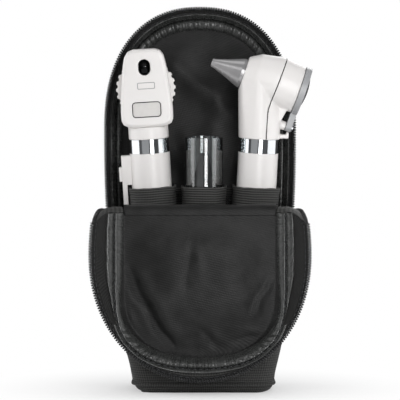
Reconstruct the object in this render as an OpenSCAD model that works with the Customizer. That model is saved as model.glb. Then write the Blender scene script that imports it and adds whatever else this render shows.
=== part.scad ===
// Soft zipped carry case, standing open, with a pocket ophthalmoscope, an otoscope
// and a tube of spare specula held in its elastic loops.
// Millimetres. X runs to the viewer's right, Y away from the viewer, Z up.
// The origin is the middle of the foot's underside.

/* [Case] */
// Widest width of the case across its zip
case_w = 96; // [92:1:112]
// Height of the case to the top of its zip
case_h = 191; // [186:1:212]
// Depth of the pouch from back to front
case_d = 52; // [50:1:64]
// Width of the case at its foot
foot_w = 68; // [66:1:80]
// Height where the sides reach their full width
flare_h = 125; // [110:1:128]
// Height of the rounded top above its springing
arch_rise = 61; // [50:1:62]
// Height of the pouch's front edge, where the cover folds over
pouch_h = 88; // [80:1:94]
// Thickness of the stiffened back panel
back_t = 2.5; // [2:0.1:4]
// Thickness of the pouch's padded wall
wall_t = 1.6; // [1:0.1:2]
// Thickness of the foot board
foot_t = 3; // [2:0.1:5]
// How far the back panel's edge lies inside the zip line
back_inset = 8; // [6:0.5:10]
// Forward reach of the back wall, from lining to zip line
back_wall = 11; // [8:0.5:12]

/* [Cover] */
// Width of the folded cover across its zip
cover_w = 105.4; // [96:0.2:112]
// Height of the cover's lowest point above the ground
cover_low = 7.6; // [4:0.1:20]
// Height where the cover's sides turn into its round end
cover_turn = 68; // [60:1:76]
// Width of the cover's flat panel
cover_panel_w = 73.6; // [66:0.2:80]
// Forward reach of the cover's wall from its panel
cover_wall = 12; // [8:0.5:14]
// Thickness of the cover's panel
cover_t = 1.8; // [1.2:0.1:2.4]

/* [Zip] */
// Width of the zip tape that shows beside the teeth
tape_w = 3.4; // [2.5:0.1:4]
// Thickness of the zip tape
tape_t = 0.8; // [0.6:0.1:1]
// Radius of the tooth coil
coil_r = 0.9; // [0.7:0.05:1.1]
// Length of the slider's pull tab
pull_l = 22; // [15:1:30]

/* [Elastic] */
// Thickness of the elastic band
band_t = 1.2; // [0.8:0.1:1.4]
// Height of the elastic band
band_h = 20; // [14:1:24]
// Height of the band's top edge along a handle
band_top = 97; // [92:1:98]
// Room between a tool and its loop
loop_gap = 0.3; // [0.2:0.05:0.4]

/* [Tools] */
// Radius of the battery handles
handle_r = 10; // [9.6:0.1:10.2]
// Length of a handle, from its foot to the bright ring
handle_l = 114.5; // [112:0.5:118]
// Length of a handle's screw cap
cap_l = 12; // [9:0.5:15]
// Height of the bright ring
ring_h = 7; // [5:0.5:9]
// Radius of the specula tube
tube_r = 9.5; // [9:0.1:9.8]
// Length of the specula tube
tube_l = 122; // [112:1:124]
// Forward tilt of the tools in the case, in degrees
tilt = 5.5; // [4.5:0.1:6]
// Sideways lean of the ophthalmoscope, in degrees
left_lean = -3.3; // [-4:0.1:-2.5]
// Sideways lean of the otoscope, in degrees
right_lean = 3; // [2:0.1:3.6]
// Radius of the lens dial over its ribs
dial_r = 14.8; // [14.2:0.1:15.2]
// Upward slant of the otoscope's line of sight, in degrees
sight_slant = 16.4; // [14:0.1:18]
// Length of the speculum
speculum_l = 17; // [14:0.5:19]

/* [Hidden] */
$fn = 64;
eps = 0.02;
touch = 0.05;      // room between pieces that touch
air = 0.3;         // room between pieces that move past each other

// Outline of the case
base_r = foot_w / 2;
rim_r = case_w / 2;
spring_h = case_h - arch_rise;
arch_power = 2.3;  // between a circle and a square
flare_power = 2.2;
arch_steps = 44;
wall_foot_y = case_d / 2 - back_t;          // inner face of the back panel
rim_y = wall_foot_y - back_wall;            // plane of the zip line
gusset_top = 3.6;                           // inset where the wall meets the tape
lining_t = 0.5;

function superarc(t, a, b, p) =
    [a * sign(cos(t)) * pow(abs(cos(t)), 2 / p), b * pow(abs(sin(t)), 2 / p)];
function half_width(z) = z >= flare_h ? rim_r
    : base_r + (rim_r - base_r) * (1 - pow(1 - z / flare_h, flare_power));
// Heights of the points up one side, from z0 to the springing
side_marks = [7, 20, 40, 64, pouch_h, pouch_h + 14, pouch_h + 28];
function side_heights(z0) = concat([z0], [for (z = side_marks) if (z > z0 + 1) z]);
// Case outline as [x, z], from the left side at height z0 over the top to the right side
function case_line(inset, z0) = let (side = side_heights(z0)) concat(
    [for (z = side) [-(half_width(z) - inset), z]],
    [for (i = [0 : arch_steps])
        let (q = superarc(180 - 180 * i / arch_steps, rim_r - inset, arch_rise - inset, arch_power))
        [q.x, spring_h + q.y]],
    [for (i = [len(side) - 1 : -1 : 0]) [half_width(side[i]) - inset, side[i]]]);
function at_depth(line, y) = [for (q = line) [q.x, y, q.y]];

// Outline of the cover, hanging folded down; share runs from its panel (0) to its zip (1)
hinge_y = -case_d / 2 - 1.5;
hinge_z = pouch_h + 5;
cover_back_y = hinge_y - 0.8;
cover_face_y = cover_back_y - cover_t;
cover_rim_y = cover_face_y - cover_wall;
panel_turn = 50;
panel_low = cover_low + 10.7;
cover_top = pouch_h;
cover_side = 7;
cover_arc = 36;
top_draw = 1.7;   // how much the cover's sides draw in towards the fold
function mix(a, b, s) = a + (b - a) * s;
function cover_half(s) = mix(cover_panel_w / 2, cover_w / 2, s);
function cover_line(s) = let (
        turn = mix(panel_turn, cover_turn, s),
        drop = turn - mix(panel_low, cover_low, s),
        power = mix(2.4, 2.05, s),
        w = cover_half(s))
    concat(
        [for (i = [0 : cover_side - 1])
            let (z = mix(cover_top, turn, i / cover_side))
            [-(w - s * top_draw * pow((z - turn) / (cover_top - turn), 2)), z]],
        [for (i = [0 : cover_arc])
            let (q = superarc(180 - 180 * i / cover_arc, w, drop, power))
            [q.x, turn - q.y]],
        [for (i = [cover_side - 1 : -1 : 0])
            let (z = mix(cover_top, turn, i / cover_side))
            [w - s * top_draw * pow((z - turn) / (cover_top - turn), 2), z]]);
function cover_y(s) = mix(cover_face_y, cover_rim_y, s);

// Tool axes: each tool stands on the foot board and leans in its loop
tool_foot_z = foot_t + 1.1;
tool_foot_y = 12.8;
left_foot_x = -18.6;
right_foot_x = 23.2;
tube_foot_x = 1.9;
module at_left() translate([left_foot_x, tool_foot_y, tool_foot_z])
    rotate([tilt, left_lean, 0]) children();
module at_right() translate([right_foot_x, tool_foot_y, tool_foot_z])
    rotate([tilt, right_lean, 0]) children();
module at_tube() translate([tube_foot_x, tool_foot_y, tool_foot_z])
    rotate([tilt, 0, 0]) children();

// Heights along a tool's axis
ring_z = handle_l;
neck_z = ring_z + ring_h;
bore_r = 7.6;           // battery bore of a handle
battery_r = 7.1;
battery_l = 49.2;
spring_h_free = 2.4;
clip_in = 12.1;         // clip arm's inner face from the handle's axis
clip_out = 14.4;
clip_w = 6;
switch_z = neck_z - 21;
switch_l = 7;
switch_travel = 3;

// Ophthalmoscope head, in its handle's frame
dial_z = neck_z + 25;
sight_z = dial_z + 10;
dial_t = 4.4;
dial_pocket_r = dial_r + 0.5;
lens_count = 12;
lens_r = 2.2;
axle_r = 2;
front_y = -10;
split_y = -2.7;
rear_y = 8.6;
head_low = neck_z + 6.2;
head_high = neck_z + 44.9;

// Otoscope head, in its handle's frame; the sight frame's z runs out through the speculum
sight_mid_z = neck_z + 29.1;
module sight() translate([0, 0, sight_mid_z]) rotate([0, sight_slant - 90, 0]) children();
mouth_z = 9.7;          // face that the speculum seats against
seat_z = -18.6;         // face behind the window frame
window_x = 1.4;         // window's centre above the line of sight
window_r = 12.2;
window_t = 3;
pin_x = -17.8;          // window's pivot below the line of sight
pin_r = 1;

// A sheet with a skin on each side: front and back are grids of points
module thick_sheet(front, back) {
    n = len(front);
    m = len(front[0]);
    function a(i, j) = i * m + j;
    function b(i, j) = (n + i) * m + j;
    points = [for (grid = [front, back]) for (row = grid) for (q = row) q];
    skin = [for (i = [0 : n - 2]) for (j = [0 : m - 2]) each [
        [a(i, j), a(i, j + 1), a(i + 1, j + 1)], [a(i, j), a(i + 1, j + 1), a(i + 1, j)],
        [b(i, j), b(i + 1, j + 1), b(i, j + 1)], [b(i, j), b(i + 1, j), b(i + 1, j + 1)]]];
    ends = [for (j = [0 : m - 2]) each [
        [a(0, j + 1), a(0, j), b(0, j)], [a(0, j + 1), b(0, j), b(0, j + 1)],
        [a(n - 1, j), a(n - 1, j + 1), b(n - 1, j + 1)],
        [a(n - 1, j), b(n - 1, j + 1), b(n - 1, j)]]];
    sides = [for (i = [0 : n - 2]) each [
        [a(i, 0), a(i + 1, 0), b(i + 1, 0)], [a(i, 0), b(i + 1, 0), b(i, 0)],
        [a(i + 1, m - 1), a(i, m - 1), b(i, m - 1)],
        [a(i + 1, m - 1), b(i, m - 1), b(i + 1, m - 1)]]];
    polyhedron(points, concat(skin, ends, sides), convexity = 10);
}

// A round bead along a flat line at one depth
bead_sides = 8;
module bead(line, y, r) {
    n = len(line);
    function way(i) = let (d = line[min(i + 1, n - 1)] - line[max(i - 1, 0)]) d / norm(d);
    points = [for (i = [0 : n - 1]) for (k = [0 : bead_sides - 1])
        let (d = way(i), t = 360 * k / bead_sides)
        [line[i].x - d.y * r * cos(t), y + r * sin(t), line[i].y + d.x * r * cos(t)]];
    function at(i, k) = i * bead_sides + k % bead_sides;
    walls = [for (i = [0 : n - 2]) for (k = [0 : bead_sides - 1]) each [
        [at(i, k), at(i + 1, k + 1), at(i + 1, k)], [at(i, k), at(i, k + 1), at(i + 1, k + 1)]]];
    polyhedron(points, concat(walls,
        [[for (k = [bead_sides - 1 : -1 : 0]) k]],
        [[for (k = [0 : bead_sides - 1]) (n - 1) * bead_sides + k]]), convexity = 10);
}

// A flat plate from an outline of [x, z], between two depths
module plate(line, y0, y1) translate([0, y1, 0]) rotate([90, 0, 0])
    linear_extrude(y1 - y0) polygon(line);

// Back shell
module back_panel() color("#1d1e20")
    plate(case_line(back_inset + touch, 0), wall_foot_y, case_d / 2);

module back_lining() color("#2a2a2d")
    plate(case_line(back_inset + 1.6, foot_t + 1), wall_foot_y - lining_t - touch, wall_foot_y - touch);

// Inner face of the back wall, as [inset, depth]
wall_a = [back_inset * 0.78, mix(wall_foot_y, rim_y, 0.3)];
wall_b = [gusset_top + 0.3, mix(wall_foot_y, rim_y, 0.62)];
wall_way = (wall_b - wall_a) / norm(wall_b - wall_a);
function on_wall(t, off) = wall_a + t * (wall_b - wall_a) + off * [-wall_way.y, wall_way.x];
function wall_ring(q, z0) = at_depth(case_line(q.x, z0), q.y);

module back_wall_gusset() color("#1d1e20") thick_sheet(
    [wall_ring([back_inset, case_d / 2], pouch_h),
     wall_ring([back_inset * 0.55, mix(case_d / 2, rim_y, 0.3)], pouch_h),
     wall_ring([gusset_top - 1.1, mix(case_d / 2, rim_y, 0.58)], pouch_h)],
    [wall_ring([back_inset, wall_foot_y], pouch_h),
     wall_ring(wall_a, pouch_h),
     wall_ring(wall_b, pouch_h)]);

module back_binding() color("#3a3b3e") thick_sheet(
    [wall_ring(on_wall(0.12, touch), pouch_h + 0.5),
     wall_ring(on_wall(0.5, touch), pouch_h + 0.5),
     wall_ring(on_wall(0.92, touch), pouch_h + 0.5)],
    [wall_ring(on_wall(0.12, 0.9), pouch_h + 0.5),
     wall_ring(on_wall(0.5, 1.4), pouch_h + 0.5),
     wall_ring(on_wall(0.92, 0.9), pouch_h + 0.5)]);

module back_zip_tape() color("#151517") thick_sheet(
    [at_depth(case_line(gusset_top - 0.9, pouch_h + 0.5), mix(case_d / 2, rim_y, 0.62)),
     at_depth(case_line(coil_r - 0.1, pouch_h + 0.5), rim_y + tape_t)],
    [at_depth(case_line(gusset_top + 0.1, pouch_h + 0.5), mix(wall_foot_y, rim_y, 0.64)),
     at_depth(case_line(coil_r + 0.1, pouch_h + 0.5), rim_y - touch)]);

module back_zip_coil() color("#0e0e10") bead(case_line(0, pouch_h + 0.5), rim_y, coil_r - touch);

// Pouch: front and two sides, open at the top, around the foot board
corner_y = 10;
corner_steps = 5;
// Right half of the pouch's plan at height z, with its face an inset inside the outline
// and its back end at depth y1
function plan_right(z, inset, y1) = let (
        hw = half_width(z),
        rx = back_inset - inset,
        ry = corner_y - inset)
    concat(
        [for (i = [0 : corner_steps]) let (t = 90 - 90 * i / corner_steps)
            [hw - back_inset + rx * cos(t), case_d / 2 - corner_y + (y1 - case_d / 2 + corner_y) * sin(t)]],
        [for (i = [0 : corner_steps]) let (t = -90 * i / corner_steps)
            [hw - back_inset + rx * cos(t), corner_y - case_d / 2 + ry * sin(t)]]);
function mirrored(half) = concat(half, [for (i = [len(half) - 1 : -1 : 0]) [-half[i].x, half[i].y]]);
function at_height(line, z) = [for (q = line) [q.x, q.y, z]];
// [height, inset] of the wall from the ground up; the foot is rolled under
pouch_steps = concat([[0, 3.4], [0.8, 1.4], [2.6, 0.2], [4.6, -0.5]],
    [for (z = side_marks) if (z <= pouch_h) [z, 0]]);
function pouch_row(s, inner, y1) = at_height(mirrored(plan_right(s[0], s[1] + inner, y1)), s[0]);
module pouch_wall() color("#1b1c1e") thick_sheet(
    [for (s = pouch_steps) pouch_row(s, 0, case_d / 2)],
    [for (s = pouch_steps) pouch_row(s, wall_t, case_d / 2 - wall_t)]);

lining_steps = [for (s = pouch_steps) if (s[0] > foot_t) s];
module pouch_lining() color("#29292c") thick_sheet(
    [for (s = lining_steps) pouch_row(s, wall_t + touch, case_d / 2 - wall_t - touch)],
    [for (s = lining_steps) pouch_row(s, wall_t + lining_t, case_d / 2 - wall_t - lining_t)]);

hem_r = 1.1;
hem_half = min(half_width(pouch_h) - back_inset - 4, cover_panel_w / 2 - 1);
module front_hem() color("#222326")
    translate([-hem_half, wall_t / 2 - case_d / 2, pouch_h + hem_r + touch])
    rotate([0, 90, 0]) cylinder(r = hem_r, h = 2 * hem_half);

foot_edge = pouch_steps[0][1] + wall_t + 2 * touch;
module foot_board() color("#202124")
    linear_extrude(foot_t) polygon(mirrored(plan_right(0, foot_edge, wall_foot_y - touch)));

// Elastic band: a strip sewn to the lining and a loop around each tool
band_z = band_top + tool_foot_z - band_h;
strip_y = wall_foot_y - lining_t - 2 * touch;
module band_strip() color("#2c2d30")
    plate([[-38, band_z], [39, band_z], [39, band_z + band_h - 1], [-38, band_z + band_h - 1]],
        strip_y - band_t, strip_y);

module loop(tool_r) {
    inner = tool_r + loop_gap;
    outer = inner + band_t;
    translate([0, 0, band_top - band_h]) linear_extrude(band_h) difference() {
        union() {
            circle(outer);
            translate([-outer, 0]) square([2 * outer, case_d]);
        }
        circle(inner);
        translate([-inner, 0]) square([2 * inner, case_d + 1]);
    }
}
module before_strip() intersection() {
    children();
    translate([-case_w, -case_d, 0]) cube([2 * case_w, case_d + strip_y - band_t - touch, case_h]);
}
module left_loop() color("#2c2d30") before_strip() at_left() loop(handle_r);
module tube_loop() color("#2c2d30") before_strip() at_tube() loop(tube_r);
module right_loop() color("#2c2d30") before_strip() at_right() loop(handle_r);

// Zip slider at the right foot of the chain, with its pull tab hanging
slider_x = half_width(pouch_h) + 0.4;
slider_w = 8;
slider_h = 9;
slider_d = 2.4;
slider_z = pouch_h - 1.5;
tab_pin_r = 0.7;
tab_eye_r = 1.3;
tab_pivot_x = slider_x + slider_d + tab_eye_r + air;
tab_pivot_z = slider_z - 3.4;
tab_w = 6;
tab_t = 1.4;
module zip_slider() color("#2b2b2e") {
    translate([slider_x, rim_y - slider_w / 2, slider_z - slider_h]) cube([slider_d, slider_w, slider_h]);
    translate([tab_pivot_x, rim_y - slider_w / 2, tab_pivot_z]) rotate([-90, 0, 0])
        cylinder(r = tab_pin_r, h = slider_w);
    for (side = [0, 1])
        translate([slider_x + slider_d, rim_y - slider_w / 2 + side * (slider_w - 0.8), tab_pivot_z - tab_pin_r])
            cube([tab_pivot_x - slider_x - slider_d, 0.8, 2 * tab_pin_r]);
}
module slider_tab() color("#2b2b2e") difference() {
    union() {
        translate([tab_pivot_x - tab_t / 2, rim_y - tab_w / 2, tab_pivot_z - pull_l])
            cube([tab_t, tab_w, pull_l]);
        translate([tab_pivot_x, rim_y - tab_w / 2, tab_pivot_z]) rotate([-90, 0, 0])
            cylinder(r = tab_eye_r, h = tab_w);
        translate([tab_pivot_x - tab_t / 2, rim_y, tab_pivot_z - pull_l]) rotate([0, 90, 0])
            cylinder(r = tab_w / 2, h = tab_t);
    }
    translate([tab_pivot_x, rim_y - tab_w, tab_pivot_z]) rotate([-90, 0, 0])
        cylinder(r = tab_pin_r + 0.06, h = 2 * tab_w);
    translate([tab_pivot_x - tab_t, rim_y, tab_pivot_z - pull_l]) rotate([0, 90, 0])
        cylinder(r = 1.6, h = 2 * tab_t);
}

// Fold: the cloth that rolls over the hem, and the gathered wall at each end of it
fold_steps = 7;
fold_half = cover_panel_w / 2 - 1;
fold_in_y = wall_t / 2 - case_d / 2;
fold_r = (fold_in_y - cover_face_y) / 2;
fold_mid_y = (fold_in_y + cover_face_y) / 2;
fold_cloth = 0.6;
fold_base = pouch_h + 1.6;
function fold_row(x, r) = [for (i = [0 : fold_steps]) let (t = 180 * i / fold_steps)
    [x, fold_mid_y + r * cos(t), fold_base + 0.72 * r * sin(t)]];
module fold_web() color("#29292c") thick_sheet(
    [fold_row(-fold_half, fold_r + hem_r), fold_row(fold_half, fold_r + hem_r)],
    [fold_row(-fold_half, fold_r + fold_cloth + hem_r), fold_row(fold_half, fold_r + fold_cloth + hem_r)]);

ear_steps = 5;
ear_t = 0.8;
module ear(side) {
    // the wall's cloth goes from the pouch's side, over the shoulder, to the hanging cover
    function shoulder(out, up) = [for (j = [0 : ear_steps]) let (t = 90 * j / ear_steps, s = j / ear_steps)
        [side * (mix(half_width(pouch_h) - 1.4, cover_w / 2 - top_draw + 0.2, s) + out),
         mix(rim_y - 8, cover_rim_y + 1, s), pouch_h + 0.5 + 1.6 * sin(2 * t) + up]];
    function root(out, up) = [for (j = [0 : ear_steps]) let (t = 90 * j / ear_steps, s = j / ear_steps)
        [side * (mix(half_width(pouch_h) - 5, cover_panel_w / 2 + 1.2, s) + out),
         mix(rim_y - 8, cover_face_y - 1, s), pouch_h + 0.5 + 3 * sin(2 * t) + up]];
    if (side > 0) thick_sheet([shoulder(0, ear_t), root(0, ear_t)], [shoulder(0, 0), root(0, 0)]);
    else thick_sheet([root(0, ear_t), shoulder(0, ear_t)], [root(0, 0), shoulder(0, 0)]);
}
module left_ear() color("#1d1e20") ear(-1);
module right_ear() color("#1d1e20") ear(1);

// Cover
tape_share = 1 - tape_w / (cover_w - cover_panel_w) * 2 * 0.9;
module cover_panel() color("#1d1e20") plate(cover_line(0), cover_face_y + lining_t + touch, cover_back_y);
module cover_lining() color("#29292c")
    plate([for (q = cover_line(0)) [q.x * 0.985, mix(cover_top - 1, q.y, 0.985)]],
        cover_face_y, cover_face_y + lining_t);

function cover_row(s, out) = [for (q = cover_line(s)) [q.x, cover_y(s) + out, q.y]];
module cover_gusset() color("#1d1e20") thick_sheet(
    [[for (q = cover_line(0.02)) [q.x, cover_face_y, q.y]], cover_row(0.3, -0.4), cover_row(tape_share - 0.02, 0)],
    [[for (q = cover_line(0.02)) [q.x, cover_back_y, q.y]], cover_row(0.34, 1.4), cover_row(tape_share - 0.01, 1.2)]);

module cover_binding() color("#3a3b3e") thick_sheet(
    [cover_row(0.14, -1.6), cover_row(0.44, -1.9)],
    [cover_row(0.12, -0.6), cover_row(0.44, -0.7)]);

module cover_zip_tape() color("#151517") thick_sheet(
    [cover_row(tape_share, 0.1), cover_row(0.912, -0.3)],
    [cover_row(tape_share, 0.1 + tape_t), cover_row(0.912, tape_t - 0.3)]);

module cover_zip_coil() color("#0e0e10") bead([for (q = cover_line(1)) [q.x, q.y]], cover_rim_y, coil_r - touch);

// Handle and what it holds, along its own axis
cap_ribs = 20;
module handle_cap() color("#efebe9") difference() {
    union() {
        cylinder(r1 = handle_r - 1.4, r2 = handle_r - 0.2, h = 1.4);
        translate([0, 0, 1.4 - eps]) cylinder(r = handle_r - 0.2, h = cap_l - 1.4);
    }
    translate([0, 0, 2.2]) cylinder(r = bore_r, h = cap_l);
    for (k = [0 : cap_ribs - 1]) rotate([0, 0, 360 * k / cap_ribs])
        translate([handle_r + 0.35, 0, 2.6]) cylinder(r = 0.9, h = cap_l - 4.2, $fn = 16);
}
module handle_tube() color("#efebe9") translate([0, 0, cap_l + touch]) difference() {
    cylinder(r = handle_r, h = handle_l - cap_l - 2 * touch);
    translate([0, 0, -1]) cylinder(r = bore_r, h = handle_l);
}
module handle_ring() color("#c9cbce") translate([0, 0, ring_z]) difference() {
    cylinder(r = handle_r - 0.1, h = ring_h - touch);
    translate([0, 0, -1]) cylinder(r = bore_r - 1, h = ring_h + 2);
}
module handle_batteries() color("#4b5a66") for (k = [0, 1])
    translate([0, 0, 2.2 + spring_h_free + k * (battery_l + 1.2)]) {
        cylinder(r = battery_r, h = battery_l);
        translate([0, 0, battery_l]) cylinder(r = 2.6, h = 1.1);
    }
spring_turns = 3;
module handle_spring() color("#b9bcc0") for (k = [0 : spring_turns - 1])
    translate([0, 0, 2.65 + k * 0.72]) rotate_extrude() translate([4.6 - 0.7 * k, 0]) circle(r = 0.33, $fn = 16);

clip_foot_z = switch_z - 38;
module clip_arm() difference() {
    union() {
        translate([-clip_out, -clip_w / 2, clip_foot_z]) cube([clip_out - clip_in, clip_w, switch_z + 13 - clip_foot_z]);
        translate([-clip_out, -clip_w / 2, switch_z - 1.5]) cube([clip_out - 8, clip_w, 14.5]);
        translate([-clip_in, 0, clip_foot_z + 3]) rotate([90, 0, 0]) translate([0, 0, -clip_w / 2])
            cylinder(r = 0.45, h = clip_w, $fn = 24);
    }
    cylinder(r = handle_r + touch, h = 3 * handle_l, center = true);
    translate([-clip_out - 1, -1.3, switch_z]) cube([2.2, 2.6, switch_l + switch_travel + 0.6]);
}
module clip_switch() {
    translate([-clip_out - 1.4, -2.4, switch_z + 0.3]) cube([1.3, 4.8, switch_l]);
    translate([-clip_out - 0.2, -1.2, switch_z + 0.3]) cube([1.1, 2.4, switch_l]);
}

module ophthalmoscope_handle() at_left() handle_tube();
module ophthalmoscope_cap() at_left() handle_cap();
module ophthalmoscope_ring() at_left() handle_ring();
module ophthalmoscope_batteries() at_left() handle_batteries();
module ophthalmoscope_spring() at_left() handle_spring();
module ophthalmoscope_clip() color("#f4f2f0") at_left() clip_arm();
module ophthalmoscope_switch() color("#f4f2f0") at_left() clip_switch();
rear_clip_turn = -74;   // the otoscope's clip faces the back of the case
module otoscope_handle() at_right() handle_tube();
module otoscope_cap() at_right() handle_cap();
module otoscope_ring() at_right() handle_ring();
module otoscope_batteries() at_right() handle_batteries();
module otoscope_spring() at_right() handle_spring();
module otoscope_clip() color("#f4f2f0") at_right() rotate([0, 0, rear_clip_turn]) clip_arm();
module otoscope_switch() color("#f4f2f0") at_right() rotate([0, 0, rear_clip_turn]) clip_switch();

// Ophthalmoscope head: [height above head_low, half width] up one side
head_side = [[0, 7], [0.4, 9.6], [1.6, 11.9], [3.6, 12.8], [8, 12.9], [12, 12.7], [19, 12.1],
    [26, 11.3], [31, 10.6], [35, 9.7], [37.4, 8.2], [38.4, 5.4]];
head_points = concat([for (q = head_side) [q[1], head_low + q[0]]],
    [for (i = [len(head_side) - 1 : -1 : 0]) [-head_side[i][1], head_low + head_side[i][0]]]);
function shrunk(points, by) = let (mid = (head_low + head_high) / 2)
    [for (q = points) [q.x * (1 - by / 12.9), mid + (q.y - mid) * (1 - by / 19.4)]];
edge = 1.3;
module head_slab(y_edge, y_flat, y_end) hull() {
    plate(shrunk(head_points, edge), min(y_edge, y_edge + eps), max(y_edge, y_edge + eps));
    plate(head_points, min(y_flat, y_end), max(y_flat, y_end));
}
module sight_hole(r, y0, y1) translate([0, y0, sight_z]) rotate([-90, 0, 0]) cylinder(r = r, h = y1 - y0);
module dial_axis(y0) translate([0, y0, dial_z]) rotate([-90, 0, 0]) children();

module head_rear_shell() color("#efebe9") at_left() {
    difference() {
        union() {
            head_slab(rear_y - eps, rear_y - edge, split_y);
            translate([0, 0, neck_z]) cylinder(r = handle_r, h = 8);
        }
        dial_axis(split_y - 1) cylinder(r = dial_pocket_r, h = dial_t + 1.4);
        sight_hole(2.6, split_y - 1, rear_y + 1);
        translate([0, 0, neck_z - 1]) cylinder(r = 2.7, h = 11);
        // the neck stops behind the front cover
        translate([-20, -20, head_low - touch]) cube([40, 20 + split_y, 30]);
    }
    dial_axis(split_y) cylinder(r = axle_r, h = dial_t + 0.6);
}
badge_w = 13.6;
badge_h = 7;
badge_z = dial_z - 10;
module badge(grow, t) translate([0, t, badge_z]) rotate([90, 0, 0]) linear_extrude(t)
    offset(r = 1.4 + grow, $fn = 24) square([badge_w - 2.8, badge_h - 2.8], center = true);
module head_front_cover() color("#f3f0ee") at_left() difference() {
    head_slab(front_y, front_y + edge, split_y - touch);
    hull() for (s = [-1, 1]) translate([0, 0, 0.9 + s * 1.05]) sight_hole(2.9, front_y - 1, split_y + 1);
    translate([0, front_y - 0.2, 0]) badge(0.15, 1);
}
module head_badge() color("#d8d5d2") at_left() translate([0, front_y + 0.15, 0]) badge(0, 0.6);
module aperture_mirror() color("#30343a") at_left()
    translate([-1.5, front_y + 2.4, sight_z - 2]) cube([3, 4, 2]);
module lens_dial() color("#efebe9") at_left() dial_axis(split_y + 0.25) difference() {
    cylinder(r = dial_r, h = dial_t);
    for (k = [0 : 25]) rotate([0, 0, 360 * (k + 0.5) / 26])
        translate([dial_r + 0.5, 0, -1]) cylinder(r = 1.3, h = dial_t + 2, $fn = 20);
    translate([0, 0, -1]) cylinder(r = axle_r + 0.06, h = dial_t + 2);
    for (k = [0 : lens_count - 1]) rotate([0, 0, 360 * k / lens_count + 90])
        translate([sight_z - dial_z, 0, -1]) cylinder(r = lens_r + touch, h = dial_t + 2, $fn = 32);
}
module dial_lenses() color([0.7, 0.8, 0.85, 0.4]) at_left() dial_axis(split_y + 0.25)
    for (k = [0 : lens_count - 1]) rotate([0, 0, 360 * k / lens_count + 90])
        translate([sight_z - dial_z, 0, 1.5]) cylinder(r = lens_r, h = 1.4, $fn = 32);
module ophthalmoscope_lamp() color("#e8e4c8") at_left() translate([0, 0, neck_z + 0.4]) {
    cylinder(r = 2.4, h = 5);
    translate([0, 0, 5]) cylinder(r1 = 2.4, r2 = 1.2, h = 3);
}
module brow_rest() color("#2c2c2e") at_left() translate([0, rear_y + touch, sight_z]) rotate([-90, 0, 0])
    difference() {
        cylinder(r1 = 7, r2 = 6, h = 2);
        translate([0, 0, -1]) cylinder(r = 3.4, h = 4);
    }

// Otoscope head
seam_x = 3.3;
seam_turn = neck_z + 15.1;
module disc(x, z, r, t) translate([x, 0, z]) cylinder(r = r, h = t, $fn = 48);
module otoscope_body() {
    hull() {
        translate([0, 0, neck_z]) cylinder(r = handle_r + 0.3, h = 14, $fn = 48);
        sight() disc(0.2, mouth_z - 1.4, 8.7, 1.4);
        sight() disc(1, 1, 11.6, 2);
    }
    hull() {
        sight() disc(0.2, mouth_z - 1.4, 8.7, 1.4);
        sight() disc(0.9, 2, 11.4, 2);
        sight() disc(1.8, -8, 12.5, 2);
        sight() disc(window_x, seat_z, 11.8, 2);
    }
    // web between the neck and the underside of the barrel
    hull() {
        translate([6, -5, neck_z + 9]) cube([4, 10, 8]);
        sight() translate([-9.5, -5, -16.5]) cube([2, 10, 5]);
    }
    // boss that carries the window's pin
    sight() translate([pin_x, 0, seat_z]) cylinder(r = 2.2, h = 10);
    // hook under the window's arm
    translate([6, -2.6, neck_z + 0.6]) cube([8.6, 5.2, 2]);
    translate([13.4, -2.6, neck_z + 0.6]) cube([1.2, 5.2, 3.2]);
}
module seam_side(front) translate([0, 30, 0]) rotate([90, 0, 0]) linear_extrude(60) polygon(front
    ? [[-40, 0], [seam_x - touch, 0], [seam_x - touch, seam_turn], [seam_x + 9.3, seam_turn + 28], [-40, seam_turn + 60]]
    : [[40, 0], [seam_x, 0], [seam_x, seam_turn], [seam_x + 9.35, seam_turn + 28], [40, seam_turn + 60]]);
module otoscope_hollow() {
    sight() translate([0, 0, mouth_z - 5]) cylinder(r = 4.2, h = 6);
    sight() hull() {
        disc(0, mouth_z - 5, 4.2, eps);
        disc(window_x, seat_z + 3, 8.6, eps);
    }
    sight() disc(window_x, seat_z - 1, 8.6, 4.1);
    translate([0, 0, neck_z - 1]) cylinder(r = 2.7, h = 13);
    sight() translate([pin_x, 0, seat_z - 1]) cylinder(r = pin_r + touch, h = 7);
}
module otoscope_front_shell() color("#efebe9") at_right() difference() {
    intersection() {
        otoscope_body();
        seam_side(true);
    }
    otoscope_hollow();
}
module otoscope_rear_shell() color("#efebe9") at_right() difference() {
    intersection() {
        otoscope_body();
        seam_side(false);
    }
    otoscope_hollow();
}
module window_frame() color("#8f9092") at_right() sight() difference() {
    union() {
        disc(window_x, seat_z - window_t - 0.2, window_r, window_t);
        translate([pin_x, -2.2, seat_z - window_t - 0.2]) cube([8, 4.4, window_t]);
        disc(pin_x, seat_z - window_t - 0.2, 2.2, window_t);
    }
    disc(window_x, seat_z - window_t - 1, 9.2, window_t + 2);
    disc(window_x, seat_z - window_t - 1, 9.7, 1.9);
    translate([pin_x, 0, seat_z - window_t - 1]) cylinder(r = pin_r + 0.06, h = window_t + 2);
}
module window_lens() color([0.8, 0.85, 0.88, 0.35]) at_right() sight() disc(window_x, seat_z - window_t - 0.1, 9.6, 1);
module window_pin() color("#b9bcc0") at_right() sight() translate([pin_x, 0, seat_z - window_t - 0.9]) {
    translate([0, 0, 0.6]) cylinder(r = pin_r, h = window_t + 5.5);
    cylinder(r = 1.8, h = 0.6);
}
module tip_mount() color("#303134") at_right() sight() translate([0, 0, mouth_z - 4.6]) difference() {
    union() {
        cylinder(r = 4.1, h = 4.65);
        translate([0, 0, 4.65]) cylinder(r1 = 5.2, r2 = 3.6, h = 6);
    }
    translate([0, 0, -1]) cylinder(r = 2.6, h = 13);
}
speculum_r = 7.4;
speculum_tip_r = 2.15;
speculum_wall = 0.8;
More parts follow.
